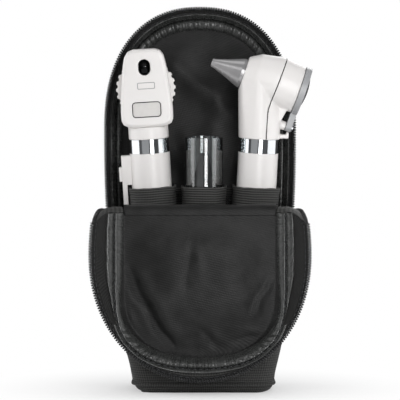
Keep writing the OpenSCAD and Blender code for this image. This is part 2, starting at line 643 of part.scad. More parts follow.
module speculum_shape(l, r, tip) rotate_extrude() polygon([
    [r - speculum_wall, 0], [r, 0], [r, 1.6], [mix(r, tip, 0.5) - 0.1, l * 0.5], [tip + 0.1, l * 0.92],
    [tip, l - 0.3], [tip - 0.3, l], [tip - speculum_wall + 0.05, l], [mix(r, tip, 0.5) - 0.1 - speculum_wall, l * 0.5],
    [r - speculum_wall, 1.6]]);
module speculum() color("#9a9c9e") at_right() sight() translate([0, 0, mouth_z + touch])
    speculum_shape(speculum_l, speculum_r, speculum_tip_r);
module otoscope_lamp() color("#e8e4c8") at_right() translate([0, 0, neck_z + 0.4]) {
    cylinder(r = 2.4, h = 5);
    translate([0, 0, 5]) cylinder(r1 = 2.4, r2 = 1.2, h = 3);
}

// Specula tube
tube_wall = 0.9;
plug_h = 5;
module specula_tube() color([0.85, 0.9, 0.92, 0.3]) at_tube() translate([0, 0, 1.3]) difference() {
    cylinder(r = tube_r, h = tube_l - 1.3);
    translate([0, 0, -1]) cylinder(r = tube_r - tube_wall, h = tube_l + 1);
}
module tube_cap() color("#2a2b2e") at_tube() {
    cylinder(r1 = tube_r - 0.8, r2 = tube_r, h = 1.25);
    translate([0, 0, 1.25]) cylinder(r = tube_r - tube_wall - touch, h = plug_h);
}
spare_count = 20;
spare_pitch = 4.7;
spare_l = 17;
module spare_specula() color("#26272a") at_tube()
    for (k = [0 : spare_count - 1]) translate([0, 0, plug_h + 1.3 + k * spare_pitch])
        rotate_extrude() polygon([[6.1, 0], [7.4, 0], [7.4, 1.5], [4.1, spare_l * 0.47], [2.1, spare_l - 0.2],
            [1.5, spare_l - 0.2], [3.1, spare_l * 0.47], [6.1, 1.5]]);

back_panel();
back_lining();
back_wall_gusset();
back_binding();
back_zip_tape();
back_zip_coil();
pouch_wall();
pouch_lining();
front_hem();
foot_board();
band_strip();
left_loop();
tube_loop();
right_loop();
zip_slider();
slider_tab();
fold_web();
left_ear();
right_ear();
cover_panel();
cover_lining();
cover_gusset();
cover_binding();
cover_zip_tape();
cover_zip_coil();
ophthalmoscope_handle();
ophthalmoscope_cap();
ophthalmoscope_ring();
ophthalmoscope_batteries();
ophthalmoscope_spring();
ophthalmoscope_clip();
ophthalmoscope_switch();
head_rear_shell();
head_front_cover();
lens_dial();
dial_lenses();
aperture_mirror();
ophthalmoscope_lamp();
brow_rest();
head_badge();
otoscope_handle();
otoscope_cap();
otoscope_ring();
otoscope_batteries();
otoscope_spring();
otoscope_clip();
otoscope_switch();
otoscope_front_shell();
otoscope_rear_shell();
window_frame();
window_lens();
window_pin();
tip_mount();
speculum();
otoscope_lamp();
specula_tube();
tube_cap();
spare_specula();
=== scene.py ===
# Soft zipped case, standing open, with its ophthalmoscope, otoscope and tube of specula.
# Shapes are worked out in millimetres in the CAD's frame, and go to Blender in metres.
import math

import bpy
import numpy as np
from mathutils import Matrix, Vector, noise
from mathutils.bvhtree import BVHTree


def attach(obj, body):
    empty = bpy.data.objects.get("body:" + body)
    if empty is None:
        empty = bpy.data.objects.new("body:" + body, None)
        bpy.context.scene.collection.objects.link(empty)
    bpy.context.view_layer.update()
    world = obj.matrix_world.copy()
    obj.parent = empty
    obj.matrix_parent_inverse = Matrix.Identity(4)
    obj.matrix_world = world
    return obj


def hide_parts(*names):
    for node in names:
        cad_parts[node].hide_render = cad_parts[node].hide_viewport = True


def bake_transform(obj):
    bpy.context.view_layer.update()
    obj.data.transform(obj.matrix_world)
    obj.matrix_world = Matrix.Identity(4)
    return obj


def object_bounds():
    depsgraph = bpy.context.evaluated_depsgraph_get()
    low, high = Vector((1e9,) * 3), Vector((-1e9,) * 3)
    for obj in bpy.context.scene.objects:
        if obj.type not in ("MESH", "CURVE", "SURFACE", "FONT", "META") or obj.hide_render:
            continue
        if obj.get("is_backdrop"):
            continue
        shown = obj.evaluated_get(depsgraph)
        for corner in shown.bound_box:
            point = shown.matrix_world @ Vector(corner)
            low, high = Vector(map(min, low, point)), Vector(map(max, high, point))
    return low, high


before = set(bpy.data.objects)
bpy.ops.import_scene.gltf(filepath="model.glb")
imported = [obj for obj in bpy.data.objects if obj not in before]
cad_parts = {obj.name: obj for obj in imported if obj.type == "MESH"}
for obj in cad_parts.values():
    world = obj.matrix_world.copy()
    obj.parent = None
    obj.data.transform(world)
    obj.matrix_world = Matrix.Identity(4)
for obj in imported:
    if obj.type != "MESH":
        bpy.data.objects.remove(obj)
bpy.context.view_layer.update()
mm = 0.001
print("frame loaded:", len(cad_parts), "nodes")


# Small helpers for nodes, meshes and outlines
def hexToLinear(code, alpha=1.0):
    parts = [int(code[i:i + 2], 16) / 255 for i in (1, 3, 5)]
    return [v / 12.92 if v <= 0.04045 else ((v + 0.055) / 1.055) ** 2.4 for v in parts] + [alpha]


def addNode(tree, kind, settings=None, links=None):
    node = tree.nodes.new(kind)
    for name, value in (settings or {}).items():
        if isinstance(name, int) or name in node.inputs:
            node.inputs[name].default_value = value
        else:
            setattr(node, name, value)
    for name, source in (links or {}).items():
        tree.links.new(source, node.inputs[name])
    return node


def mix(a, b, t):
    return a + (b - a) * t


def smooth(low, high, value):
    t = np.clip((value - low) / (high - low), 0, 1)
    return t * t * (3 - 2 * t)


def bump1d(value, centre, width):
    return np.exp(-((value - centre) / width) ** 2)


def roughly(x, y, z, size, seed=0.0):
    # smooth noise from -1 to 1 with lumps of about that size in millimetres
    return noise.noise(Vector((x / size + seed, y / size - seed, z / size + 2 * seed)))


def roughlyOver(points, size, seed=0.0):
    flat = np.asarray(points, float).reshape(-1, 3)
    found = np.array([roughly(p[0], p[1], p[2], size, seed) for p in flat])
    return found.reshape(np.asarray(points).shape[:-1])


def lengthsAlong(points):
    steps = np.linalg.norm(np.diff(points, axis=0), axis=1)
    return np.concatenate([[0], np.cumsum(steps)])


def makeMesh(name, points, faces, material, body=None, uv=None, smoothShade=True):
    mesh = bpy.data.meshes.new(name)
    mesh.from_pydata((np.asarray(points, float) * mm).tolist(), [], [list(f) for f in faces])
    if uv is not None:
        layer = mesh.uv_layers.new(name="threads")
        loops = np.empty(len(mesh.loops), np.int32)
        mesh.loops.foreach_get("vertex_index", loops)
        layer.uv.foreach_set("vector", np.asarray(uv, np.float32)[loops].ravel())
    mesh.materials.append(material)
    mesh.validate()
    if smoothShade:
        mesh.shade_smooth()
    piece = bpy.data.objects.new(name, mesh)
    bpy.context.scene.collection.objects.link(piece)
    if body:
        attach(piece, body)
    return piece


def gridFaces(n, m, start=0, flip=False, closed=False):
    faces = []
    for i in range(n - 1):
        for j in range(m if closed else m - 1):
            k = (j + 1) % m
            quad = [start + i * m + j, start + i * m + k, start + (i + 1) * m + k, start + (i + 1) * m + j]
            faces.append(quad[::-1] if flip else quad)
    return faces


def gridUv(grid):
    # thread coordinates in millimetres, measured along the middle row and column
    n, m = grid.shape[:2]
    across = lengthsAlong(grid[n // 2])
    along = lengthsAlong(grid[:, m // 2])
    return np.stack(np.meshgrid(across, along), -1).reshape(-1, 2)


def sheetObject(name, front, back, material, body=None, flip=False):
    # a closed cloth: two skins of n by m points and the strips round their edge
    front, back = np.asarray(front, float), np.asarray(back, float)
    n, m = front.shape[:2]
    count = n * m
    faces = gridFaces(n, m, 0, flip) + gridFaces(n, m, count, not flip)
    ring = ([j for j in range(m)] + [i * m + m - 1 for i in range(1, n)]
            + [(n - 1) * m + j for j in range(m - 2, -1, -1)] + [i * m for i in range(n - 2, 0, -1)])
    for a, b in zip(ring, ring[1:] + ring[:1]):
        quad = [a, b, b + count, a + count]
        faces.append(quad if flip else quad[::-1])
    points = np.concatenate([front.reshape(-1, 3), back.reshape(-1, 3)])
    uv = np.concatenate([gridUv(front), gridUv(front)])
    return makeMesh(name, points, faces, material, body, uv)


def loftObject(name, rings, material, body=None, slot=None, capEnds=True, uv=None, flip=False):
    rings = np.asarray(rings, float)
    n, m = rings.shape[:2]
    faces = gridFaces(n, m, 0, flip, closed=True)
    if capEnds:
        first, last = list(range(m)), list(range((n - 1) * m, n * m))
        faces += [first if flip else first[::-1], last[::-1] if flip else last]
    if uv is None:
        around = lengthsAlong(np.vstack([rings[n // 2], rings[n // 2][:1]]))[:m]
        along = lengthsAlong(rings[:, 0])
        uv = np.stack(np.meshgrid(around, along), -1).reshape(-1, 2)
    return makeMesh(name, rings.reshape(-1, 3), faces, material, body, uv)


def pathFrames(path):
    # at each point of a path: forward, side and up, turned as little as possible
    path = np.asarray(path, float)
    forward = np.gradient(path, axis=0)
    forward /= np.linalg.norm(forward, axis=1)[:, None]
    up = np.cross(forward[0], [0.3, 0.5, 0.8])
    up /= np.linalg.norm(up)
    ups = []
    for f in forward:
        up = up - f * (up @ f)
        up /= np.linalg.norm(up)
        ups.append(up)
    ups = np.array(ups)
    return forward, np.cross(forward, ups), ups


def tubeRings(path, radius, sides=8):
    forward, side, up = pathFrames(path)
    turn = np.linspace(0, 2 * math.pi, sides, endpoint=False)
    radius = np.broadcast_to(radius, len(path))
    return (np.asarray(path)[:, None] + radius[:, None, None]
            * (np.cos(turn)[None, :, None] * side[:, None] + np.sin(turn)[None, :, None] * up[:, None]))


def latheRings(profile, sides=64):
    # profile is [radius, height]; rings go up the z axis
    turn = np.linspace(0, 2 * math.pi, sides, endpoint=False)
    return np.array([[[r * math.cos(t), r * math.sin(t), z] for t in turn] for r, z in profile])


# Finishes
def newMaterial(name):
    made = bpy.data.materials.new(name)
    made.use_nodes = True
    tree = made.node_tree
    shader = next(n for n in tree.nodes if n.type == "BSDF_PRINCIPLED")
    return made, tree, shader


def waveScale(pitch):
    return math.pi / (10 * pitch)       # a band texture at scale 1 repeats each pi / 10


def clothMaterial(name, cloth):
    # two sets of threads over a slow change of shade, their crests painted lighter as a painted highlight;
    # the threads map holds millimetres on the cloth
    made, tree, shader = newMaterial(name)
    uv = addNode(tree, "ShaderNodeUVMap", {"uv_map": "threads"})
    turned = addNode(tree, "ShaderNodeMapping", {"Rotation": (0, 0, math.radians(cloth["turn"]))},
                     {"Vector": uv.outputs[0]})
    cloud = addNode(tree, "ShaderNodeTexNoise", {"Scale": 1 / cloth["cloud"], "Detail": 4.0},
                    {"Vector": uv.outputs[0]})
    spread = addNode(tree, "ShaderNodeMapRange", {1: 0.32, 2: 0.68}, {0: cloud.outputs[0]})
    slow = addNode(tree, "ShaderNodeMix", {"data_type": "RGBA", 6: hexToLinear(cloth["dark"]),
                                           7: hexToLinear(cloth["light"])}, {0: spread.outputs[0]})
    across, along = [addNode(tree, "ShaderNodeTexWave",
                             {"bands_direction": way, "Scale": waveScale(cloth[pitch]), "Distortion": 0.5,
                              "Detail": 1.0, "Detail Scale": 0.6}, {"Vector": turned.outputs[0]})
                     for way, pitch in (("X", "warp"), ("Y", "weft"))]
    part = addNode(tree, "ShaderNodeMath", {"operation": "MULTIPLY", 1: cloth["warpShare"]},
                   {0: across.outputs[1]})
    weave = addNode(tree, "ShaderNodeMath", {"operation": "MULTIPLY_ADD", 1: 1 - cloth["warpShare"]},
                    {0: along.outputs[1], 2: part.outputs[0]})
    shown = addNode(tree, "ShaderNodeMath", {"operation": "MULTIPLY", 1: cloth["show"]},
                    {0: weave.outputs[0]})
    # painted highlight: the thread crests are mixed towards a lighter colour that stands for the light they
    # catch
    toneWithCrestHighlight = addNode(tree, "ShaderNodeMix", {"data_type": "RGBA", 7: hexToLinear(cloth["crestHighlight"])},
                    {0: shown.outputs[0], 6: slow.outputs[2]})
    # slubs: thick places in the thread, 0.7 mm across and 5 mm long
    stretch = addNode(tree, "ShaderNodeMapping", {"Scale": (1 / 0.7, 1 / 5, 1)},
                      {"Vector": turned.outputs[0]})
    slub = addNode(tree, "ShaderNodeTexNoise", {"Scale": 1.0, "Detail": 1.0}, {"Vector": stretch.outputs[0]})
    height = addNode(tree, "ShaderNodeMath", {"operation": "MULTIPLY_ADD", 1: 0.4},
                     {0: slub.outputs[0], 2: weave.outputs[0]})
    raised = addNode(tree, "ShaderNodeBump", {"Strength": cloth["relief"], "Distance": cloth["depth"] * mm},
                     {"Height": height.outputs[0]})
    gloss = addNode(tree, "ShaderNodeMapRange", {3: cloth["roughness"] - 0.05, 4: cloth["roughness"] + 0.05},
                    {0: cloud.outputs[0]})
    tree.links.new(toneWithCrestHighlight.outputs[2], shader.inputs["Base Color"])
    tree.links.new(raised.outputs[0], shader.inputs["Normal"])
    tree.links.new(gloss.outputs[0], shader.inputs["Roughness"])
    shader.inputs["IOR"].default_value = 1.53
    shader.inputs["Specular IOR Level"].default_value = cloth.get("specular", 0.16)
    shader.inputs["Sheen Weight"].default_value = cloth["sheen"]
    shader.inputs["Sheen Roughness"].default_value = 0.4
    return made


def hardMaterial(name, hard):
    # moulded, plated or drawn: slow shade change, mould grain and hand wear in the gloss; scales are in mm
    made, tree, shader = newMaterial(name)
    place = addNode(tree, "ShaderNodeTexCoord")
    cloud = addNode(tree, "ShaderNodeTexNoise", {"Scale": 1 / (hard.get("cloud", 8) * mm), "Detail": 3.0},
                    {"Vector": place.outputs["Object"]})
    slow = addNode(tree, "ShaderNodeMix", {"data_type": "RGBA", 6: hexToLinear(hard["dark"]),
                                           7: hexToLinear(hard["light"])}, {0: cloud.outputs[0]})
    wear = hard.get("wear", 0.04)
    gloss = addNode(tree, "ShaderNodeMapRange",
                    {3: max(0, hard["roughness"] - wear), 4: hard["roughness"] + wear}, {0: cloud.outputs[0]})
    grain = addNode(tree, "ShaderNodeTexNoise", {"Scale": 1 / (hard.get("grain", 0.6) * mm), "Detail": 2.0},
                    {"Vector": place.outputs["Object"]})
    raised = addNode(tree, "ShaderNodeBump", {"Strength": hard.get("relief", 0.05), "Distance": 0.05 * mm},
                     {"Height": grain.outputs[0]})
    tree.links.new(slow.outputs[2], shader.inputs["Base Color"])
    tree.links.new(gloss.outputs[0], shader.inputs["Roughness"])
    tree.links.new(raised.outputs[0], shader.inputs["Normal"])
    shader.inputs["Metallic"].default_value = hard.get("metallic", 0.0)
    shader.inputs["Transmission Weight"].default_value = hard.get("clear", 0.0)
    shader.inputs["Coat Weight"].default_value = hard.get("coat", 0.0)
    shader.inputs["Coat IOR"].default_value = hard.get("coatIor", 1.5)
    if "ior" in hard:
        shader.inputs["IOR"].default_value = hard["ior"]
    return made


# in each cloth below, the crest colour is a painted highlight on the threads
# woven nylon: matt black plain weave, drawn twice as coarse as real so that it shows
shellNylon = clothMaterial("wovenNylon", {
    "dark": "#060606", "light": "#101010", "crestHighlight": "#5c5c5a", "cloud": 14, "turn": 0, "warp": 1.2,
    "weft": 1.2, "warpShare": 0.5, "show": 0.6, "depth": 0.12, "relief": 0.7, "roughness": 0.66,
    "specular": 0.24, "sheen": 0.04})
# nylon twill lining: fine ribs with a painted soft grey highlight on their crests, lighter still where a fold
# faces the light
liningTwill = clothMaterial("twillNylonLining", {
    "dark": "#090909", "light": "#1b1b1b", "crestHighlight": "#333332", "cloud": 9, "turn": -14, "warp": 0.8,
    "weft": 1.1, "warpShare": 0.3, "show": 0.34, "depth": 0.1, "relief": 0.6, "roughness": 0.46,
    "specular": 0.2, "sheen": 0.02})
# satin bias tape: long smooth floats of thread, so each pucker carries a streak of light
satinTape = clothMaterial("satinWeaveTape", {
    "dark": "#1c1d1c", "light": "#323332", "crestHighlight": "#565756", "cloud": 5, "turn": 0, "warp": 1.6,
    "weft": 0.5, "warpShare": 0.5, "show": 0.3, "depth": 0.05, "relief": 0.4, "roughness": 0.27,
    "specular": 0.6, "sheen": 0.02})
# woven polyester zip tape: close herringbone, flat black
zipTapeWeave = clothMaterial("herringbonePolyesterTape", {
    "dark": "#0b0b0b", "light": "#161616", "crestHighlight": "#3e3e3d", "cloud": 8, "turn": 45, "warp": 1.1,
    "weft": 1.1, "warpShare": 0.75, "show": 0.5, "depth": 0.12, "relief": 0.7, "roughness": 0.68,
    "sheen": 0.04})
# knitted elastic webbing: rubber cores under round ribs that run along the band, with a painted highlight on
# each rib
ribbedElastic = clothMaterial("knittedElasticWebbing", {
    "dark": "#161616", "light": "#242423", "crestHighlight": "#737371", "cloud": 7, "turn": 0, "warp": 0.8,
    "weft": 1.2, "warpShare": 0.2, "show": 0.55, "depth": 0.2, "relief": 0.9, "roughness": 0.66,
    "sheen": 0.04})
# extruded nylon monofilament: black with a small hard glint on each turn
nylonCoil = hardMaterial("extrudedNylonCoil", {
    "dark": "#0b0b0c", "light": "#161719", "roughness": 0.36, "ior": 1.53})
# bonded polyester thread: a shade greyer than the cloth, so that the seams can be read
sewingThread = hardMaterial("bondedPolyesterThread", {
    "dark": "#222325", "light": "#313235", "roughness": 0.5, "ior": 1.53})
# injection-moulded ABS, warm white with a fine spark-eroded grain
whiteAbs = hardMaterial("mouldedWhiteAbs", {
    "dark": "#e8e5e3", "light": "#eeebe9", "cloud": 22, "grain": 0.35, "relief": 0.12,
    "roughness": 0.33, "ior": 1.54})
# chrome plate over brass: mirror-bright with the faintest handling haze
chromePlate = hardMaterial("platedChrome", {
    "dark": "#c6c9cc", "light": "#d3d6d8", "roughness": 0.08, "wear": 0.03, "metallic": 1.0,
    "relief": 0.01})
# moulded ABS in mid grey, satin from its mould
greyAbs = hardMaterial("mouldedGreyAbs", {
    "dark": "#747578", "light": "#808184", "grain": 0.35, "relief": 0.1, "roughness": 0.36,
    "ior": 1.54})
# polypropylene with metal flake, polished: throws long soft highlights down the cone
speculumGrey = hardMaterial("polishedFlakePolypropylene", {
    "dark": "#a09fa0", "light": "#b4b3b3", "metallic": 0.45, "roughness": 0.24})
# pad-printed plate in a slightly greyer white than the head it is set in
platePrint = hardMaterial("padPrintedPlate", {
    "dark": "#d2cfcc", "light": "#dedbd8", "cloud": 2, "roughness": 0.4, "ior": 1.5})
# frosted grey acrylic of the magnifier's rim: pale, with a soft sheen
frostedAcrylic = hardMaterial("frostedGreyAcrylic", {
    "dark": "#9c9d9f", "light": "#acadaf", "cloud": 5, "roughness": 0.3, "ior": 1.49})
# moulded polypropylene, black and glossy
blackPolypropylene = hardMaterial("mouldedBlackPolypropylene", {
    "dark": "#0f1012", "light": "#1a1b1e", "roughness": 0.25, "ior": 1.5})
# the spare cones' polypropylene: black with a matt spark-eroded skin, so the tube looks dark inside; the same
# black also lines and stops the sight hole as painted shade
blackSpeculaAndHoleShade = hardMaterial("mattBlackPolypropyleneAndHoleShade", {
    "dark": "#08080a", "light": "#101113", "relief": 0.2, "roughness": 0.55, "ior": 1.4})
# moulded rubber: dull black with a fine tooth
blackRubber = hardMaterial("mouldedBlackRubber", {
    "dark": "#131314", "light": "#1c1c1e", "grain": 0.5, "relief": 0.4, "roughness": 0.7, "ior": 1.52})
# die-cast zinc under black lacquer, rubbed a little brighter at touch points
blackLacquer = hardMaterial("lacqueredZinc", {
    "dark": "#131315", "light": "#242528", "cloud": 3, "wear": 0.1, "metallic": 0.5, "roughness": 0.34})
# printed film sleeve round a cell: blue-grey, slightly glossy
cellSleeve = hardMaterial("printedFilmSleeve", {
    "dark": "#2c3a4a", "light": "#364555", "roughness": 0.3, "ior": 1.5})
# drawn spring steel: bright wire with a grey cast
springSteel = hardMaterial("drawnSpringSteel", {
    "dark": "#9b9da1", "light": "#aeb0b4", "metallic": 1.0, "roughness": 0.25})
# pressed foam board: dead-matt black with open pores
foamBoard = hardMaterial("pressedFoamBoard", {
    "dark": "#141416", "light": "#202124", "grain": 0.8, "relief": 0.5, "roughness": 0.85, "ior": 1.5})
# extruded clear acrylic: shows what is inside and keeps sharp upright highlights
clearAcrylic = hardMaterial("extrudedClearAcrylic", {
    "dark": "#eef3f4", "light": "#fbfdfd", "clear": 1.0, "roughness": 0.01, "wear": 0.01, "relief": 0.0,
    "ior": 1.49, "coat": 1.0, "coatIor": 1.5})
# ground and polished crown glass
crownGlass = hardMaterial("groundCrownGlass", {
    "dark": "#edf3f4", "light": "#f8fbfb", "clear": 1.0, "roughness": 0.01, "wear": 0.01, "relief": 0.0,
    "ior": 1.52})
# bulb glass, faintly yellow and hazed
bulbGlass = hardMaterial("blownBulbGlass", {
    "dark": "#efe8c8", "light": "#f8f4e0", "clear": 0.8, "roughness": 0.18, "ior": 1.47})
# front-coated mirror glass, its colour painted dark as a painted reflection of the dark inside of the head
mirrorGlass = hardMaterial("coatedMirrorGlass", {
    "dark": "#0b0c0e", "light": "#15171a", "metallic": 0.4, "roughness": 0.06, "relief": 0.0})
print("materials made:", len(bpy.data.materials))


# CAD nodes that keep their own shape take a finish here
finishes = {
    whiteAbs: ["ophthalmoscope_handle", "ophthalmoscope_cap", "ophthalmoscope_clip", "ophthalmoscope_switch",
               "otoscope_handle", "otoscope_cap", "otoscope_clip", "otoscope_switch", "lens_dial",
               "head_rear_shell", "head_front_cover", "otoscope_front_shell", "otoscope_rear_shell"],
    chromePlate: ["ophthalmoscope_ring", "otoscope_ring"],
    cellSleeve: ["ophthalmoscope_batteries", "otoscope_batteries"],
    springSteel: ["ophthalmoscope_spring", "otoscope_spring", "window_pin"],
    frostedAcrylic: ["window_frame"],
    platePrint: ["head_badge"],
    crownGlass: ["window_lens", "dial_lenses"],
    bulbGlass: ["ophthalmoscope_lamp", "otoscope_lamp"],
    mirrorGlass: ["aperture_mirror"],
    blackRubber: ["brow_rest"],
    speculumGrey: ["speculum"],
    blackPolypropylene: ["tip_mount", "tube_cap"],
    blackSpeculaAndHoleShade: ["spare_specula"],
    clearAcrylic: ["specula_tube"],
    blackLacquer: ["zip_slider", "slider_tab"],
    foamBoard: ["foot_board"],
}
for finish, names in finishes.items():
    for name in names:
        node = bpy.data.objects[name]
        node.data.materials.clear()
        node.data.materials.append(finish)


# Case outline, as the zip line of the standing back half
case = {
    "width": 96, "height": 191, "depth": 52, "footWidth": 68, "flare": 125, "archRise": 61, "archPower": 2.3,
    "pouchHeight": 88, "backThick": 2.5, "backInset": 8, "backWall": 11, "corner": 10, "wall": 1.6,
}
springHeight = case["height"] - case["archRise"]
backFace = case["depth"] / 2
liningFace = backFace - case["backThick"]         # inner face of the back panel
zipPlane = liningFace - case["backWall"]
pouchTop = case["pouchHeight"]


def halfWidth(z):
    foot, full = case["footWidth"] / 2, case["width"] / 2
    part = np.clip(np.asarray(z, float) / case["flare"], 0, 1)
    return foot + (full - foot) * (1 - (1 - part) ** 2.2)


def superArc(angle, a, b, power):
    c, s = np.cos(angle), np.sin(angle)
    return a * np.sign(c) * abs(c) ** (2 / power), b * abs(s) ** (2 / power)


def caseLine(inset, low, sides=26, arch=110):
    # [x, z] of the outline moved in by inset, from the left foot over the arch to the right foot
    z = np.linspace(low, springHeight, sides, endpoint=False)
    left = np.stack([-(halfWidth(z) - inset), z], 1)
    x, up = superArc(np.linspace(math.pi, 0, arch + 1), case["width"] / 2 - inset, case["archRise"] - inset,
                     case["archPower"])
    return np.vstack([left, np.stack([x, springHeight + up], 1), left[::-1] * [-1, 1]])


def atDepth(line, y):
    return np.stack([line[:, 0], np.broadcast_to(y, len(line)), line[:, 1]], 1)


def archPanel(low, turn, tip, halfAt, power, columns, sideRows=44, archRows=46):
    # rows of [x, z] over a shape with straight-ish sides from low to turn and a round end at tip
    angle = np.linspace(0, math.pi / 2, archRows) * 0.985
    heights = np.concatenate([np.linspace(low, turn, sideRows, endpoint=False),
                              turn + (tip - turn) * np.sin(angle) ** (2 / power)])
    t = np.linspace(-1, 1, columns)
    t = np.sign(t) * (1 - (1 - abs(t)) ** 1.2)
    grid = []
    for z in heights:
        rise = min(1.0, max(0.0, (z - turn) / (tip - turn)))
        half = halfAt(min(z, turn) if tip > turn else max(z, turn)) * (1 - rise ** power) ** (1 / power)
        grid.append(np.stack([half * t, np.full(columns, z)], 1))
    grid = np.array(grid)
    # rough distance of each point from the edge of the panel
    edge = np.concatenate([grid[:, -1], grid[::-1, 0]])
    gap = np.sqrt(((grid[:, :, None] - edge[None, None]) ** 2).sum(-1)).min(-1)
    gap = np.minimum(gap, abs(grid[:, :, 1] - low))
    return grid, gap


def puckered(along, across, pitch, seed):
    # gathers of a sewn strip: uneven ridges across it, from 0 to 1
    drift = np.array([roughly(a, seed * 7, 0, pitch * 2.2, seed) for a in along])[:, None]
    ridge = np.abs(np.sin(math.pi * (along[:, None] / pitch + 0.6 * drift + 0.15 * across[None]))) ** 0.8
    return ridge * (0.76 + 0.24 * np.sin(along[:, None] / (pitch * 1.9) + 4 * drift))


gatherStep = 0.45        # mm between points along a gathered strip, fine enough for its ridges


def stripAlong(name, rows, thick, material, body, puckerPitch=0.0, puckerDepth=None, seed=1.0):
    # cloth strip over rows of lines; thick is the vector from its show face to its back at each row
    rows, thick = np.asarray(rows, float), np.asarray(thick, float)
    if puckerPitch:
        along = lengthsAlong(rows[len(rows) // 2])
        finer = np.linspace(0, along[-1], int(along[-1] / gatherStep))
        rows = np.array([np.stack([np.interp(finer, along, row[:, k]) for k in range(3)], 1) for row in rows])
        puckerDepth = np.interp(finer, along, np.broadcast_to(puckerDepth, (1, len(along)))[0])[None]
        along = finer
        lift = puckered(along, np.linspace(0, 1, len(rows)), puckerPitch, seed).T
        belly = np.sin(np.linspace(0, math.pi, len(rows)))[:, None] ** 0.6
        inward = thick / np.linalg.norm(thick, axis=-1, keepdims=True)
        rows = rows - (lift * belly * puckerDepth)[..., None] * inward
    return sheetObject(name, rows, rows + thick, material, body)


def coilAlong(name, path, side, material, body, slot, coil):
    # flattened spiral of monofilament sewn along a path; side points from the tape to the teeth
    path, side = np.asarray(path, float), np.asarray(side, float)
    length = lengthsAlong(path)
    count = int(length[-1] / coil["pitch"]) * 8
    at = np.linspace(0, length[-1], count)
    point = np.stack([np.interp(at, length, path[:, k]) for k in range(3)], 1)
    side = np.stack([np.interp(at, length, side[:, k]) for k in range(3)], 1)
    forward = np.gradient(point, axis=0)
    forward /= np.linalg.norm(forward, axis=1)[:, None]
    side -= forward * (side * forward).sum(1)[:, None]
    side /= np.linalg.norm(side, axis=1)[:, None]
    third = np.cross(forward, side)
    turn = 2 * math.pi * at / coil["pitch"]
    wound = (point + side * (coil["reach"] * np.cos(turn))[:, None]
             + third * (coil["rise"] * np.sin(turn))[:, None])
    return loftObject(name, tubeRings(wound, coil["wire"], 5), material, body, slot)


def stitchesAlong(name, paths, material, body, stitch):
    # thread showing as short round-ended bars along each path
    points, faces = [], []
    for path in paths:
        length = lengthsAlong(path)
        step = stitch["length"] + stitch["gap"]
        for start in np.arange(stitch["gap"], length[-1] - stitch["length"], step):
            at = start + stitch["length"] * np.array([0, 0.18, 0.82, 1])
            middle = np.stack([np.interp(at, length, path[:, k]) for k in range(3)], 1)
            rings = tubeRings(middle, stitch["radius"] * np.array([0.35, 1, 1, 0.35]), 5)
            base = len(points) * 5
            points.extend(rings)
            faces += gridFaces(4, 5, base, closed=True)
            faces += [list(range(base + 4, base - 1, -1)), list(range(base + 15, base + 20))]
    points = np.array(points).reshape(-1, 3)
    return makeMesh(name, points, faces, material, body)


zipCoil = {"pitch": 1.25, "reach": 0.85, "rise": 0.5, "wire": 0.32}
seamStitch = {"length": 2.0, "gap": 0.9, "radius": 0.24}

# Back tray: crowned panel and its piping
tray = {
    "inset": 7.4, "padFace": 25.7, "crown": 1.5, "crownReach": 7, "piping": 1.05, "creaseSize": 24,
    "creaseDepth": 0.5, "pipingAt": 26.1, "gatherPitch": 3.6, "gatherDepth": (0.3, 0.95),
    "liningInset": 6.4, "liningAt": 22.95, "liningBack": 23.45, "liningCrumple": 0.45,
}
panel, gap = archPanel(0.8, springHeight, case["height"] - tray["inset"],
                       lambda z: float(halfWidth(z)) - tray["inset"], case["archPower"], 45)
x, z = panel[..., 0], panel[..., 1]
crown = tray["crown"] * (1 - np.exp(-gap / tray["crownReach"]))
spot = np.stack([x, 0 * x, z], -1)
crease = tray["creaseDepth"] * roughlyOver(spot, tray["creaseSize"], 2.0) * smooth(0, 9, gap)
outer = np.stack([x, tray["padFace"] + crown + crease, z], -1)
inner = np.stack([x, np.full(x.shape, liningFace + 0.1), z], -1)
backPad = sheetObject("backPad", inner, outer, shellNylon, "case")
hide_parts("back_panel")

line = caseLine(7.1, 0.9)
loftObject("backPiping", tubeRings(atDepth(line, tray["pipingAt"]), tray["piping"], 10), satinTape, "case",
           "satin_binding")

# Wall cloth round the arch, from the panel to the zip tape
low = pouchTop - 1.5
outerProfile = [(7.3, 25.9), (5.4, 25.4), (3.5, 24.0), (2.0, 21.8), (1.1, 19.2), (0.8, 17.0)]
innerProfile = [(7.6, 23.9), (6.4, 23.2), (5.1, 21.9), (4.0, 20.1), (3.2, 18.5), (2.6, 16.8)]
outer = np.array([atDepth(caseLine(i, low), y) for i, y in outerProfile])
inner = np.array([atDepth(caseLine(i, low), y) for i, y in innerProfile])
soft = 0.35 * roughlyOver(outer, 11, 5.0)[..., None] * np.array([0.4, 1, 0.4])
backGussetCloth = sheetObject("backGussetCloth", outer + soft, inner, shellNylon, "case",
                              flip=True)
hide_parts("back_wall_gusset")

low = pouchTop + 0.4
outer = np.array([atDepth(caseLine(i, low), y) for i, y in [(0.75, 17.8), (0.45, 15.4), (0.5, 13.0)]])
inner = np.array([atDepth(caseLine(i, low), y) for i, y in [(2.5, 17.4), (2.0, 15.2), (1.4, 12.8)]])
backTape = sheetObject("backZipTape", outer, inner, zipTapeWeave, "case", flip=True)
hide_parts("back_zip_tape")

line = caseLine(0.35, low)
way = np.gradient(line, axis=0)
outward = np.stack([-way[:, 1], np.zeros(len(line)), way[:, 0]], 1)
backCoil = coilAlong("backZipCoil", atDepth(line, zipPlane), outward, nylonCoil, "case", "nylon_coil",
                     zipCoil)
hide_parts("back_zip_coil")
stitchesAlong("backTapeStitches", [atDepth(caseLine(2.3, low), 16.2), atDepth(caseLine(0.62, low), 16.6)],
              sewingThread, "case", seamStitch)

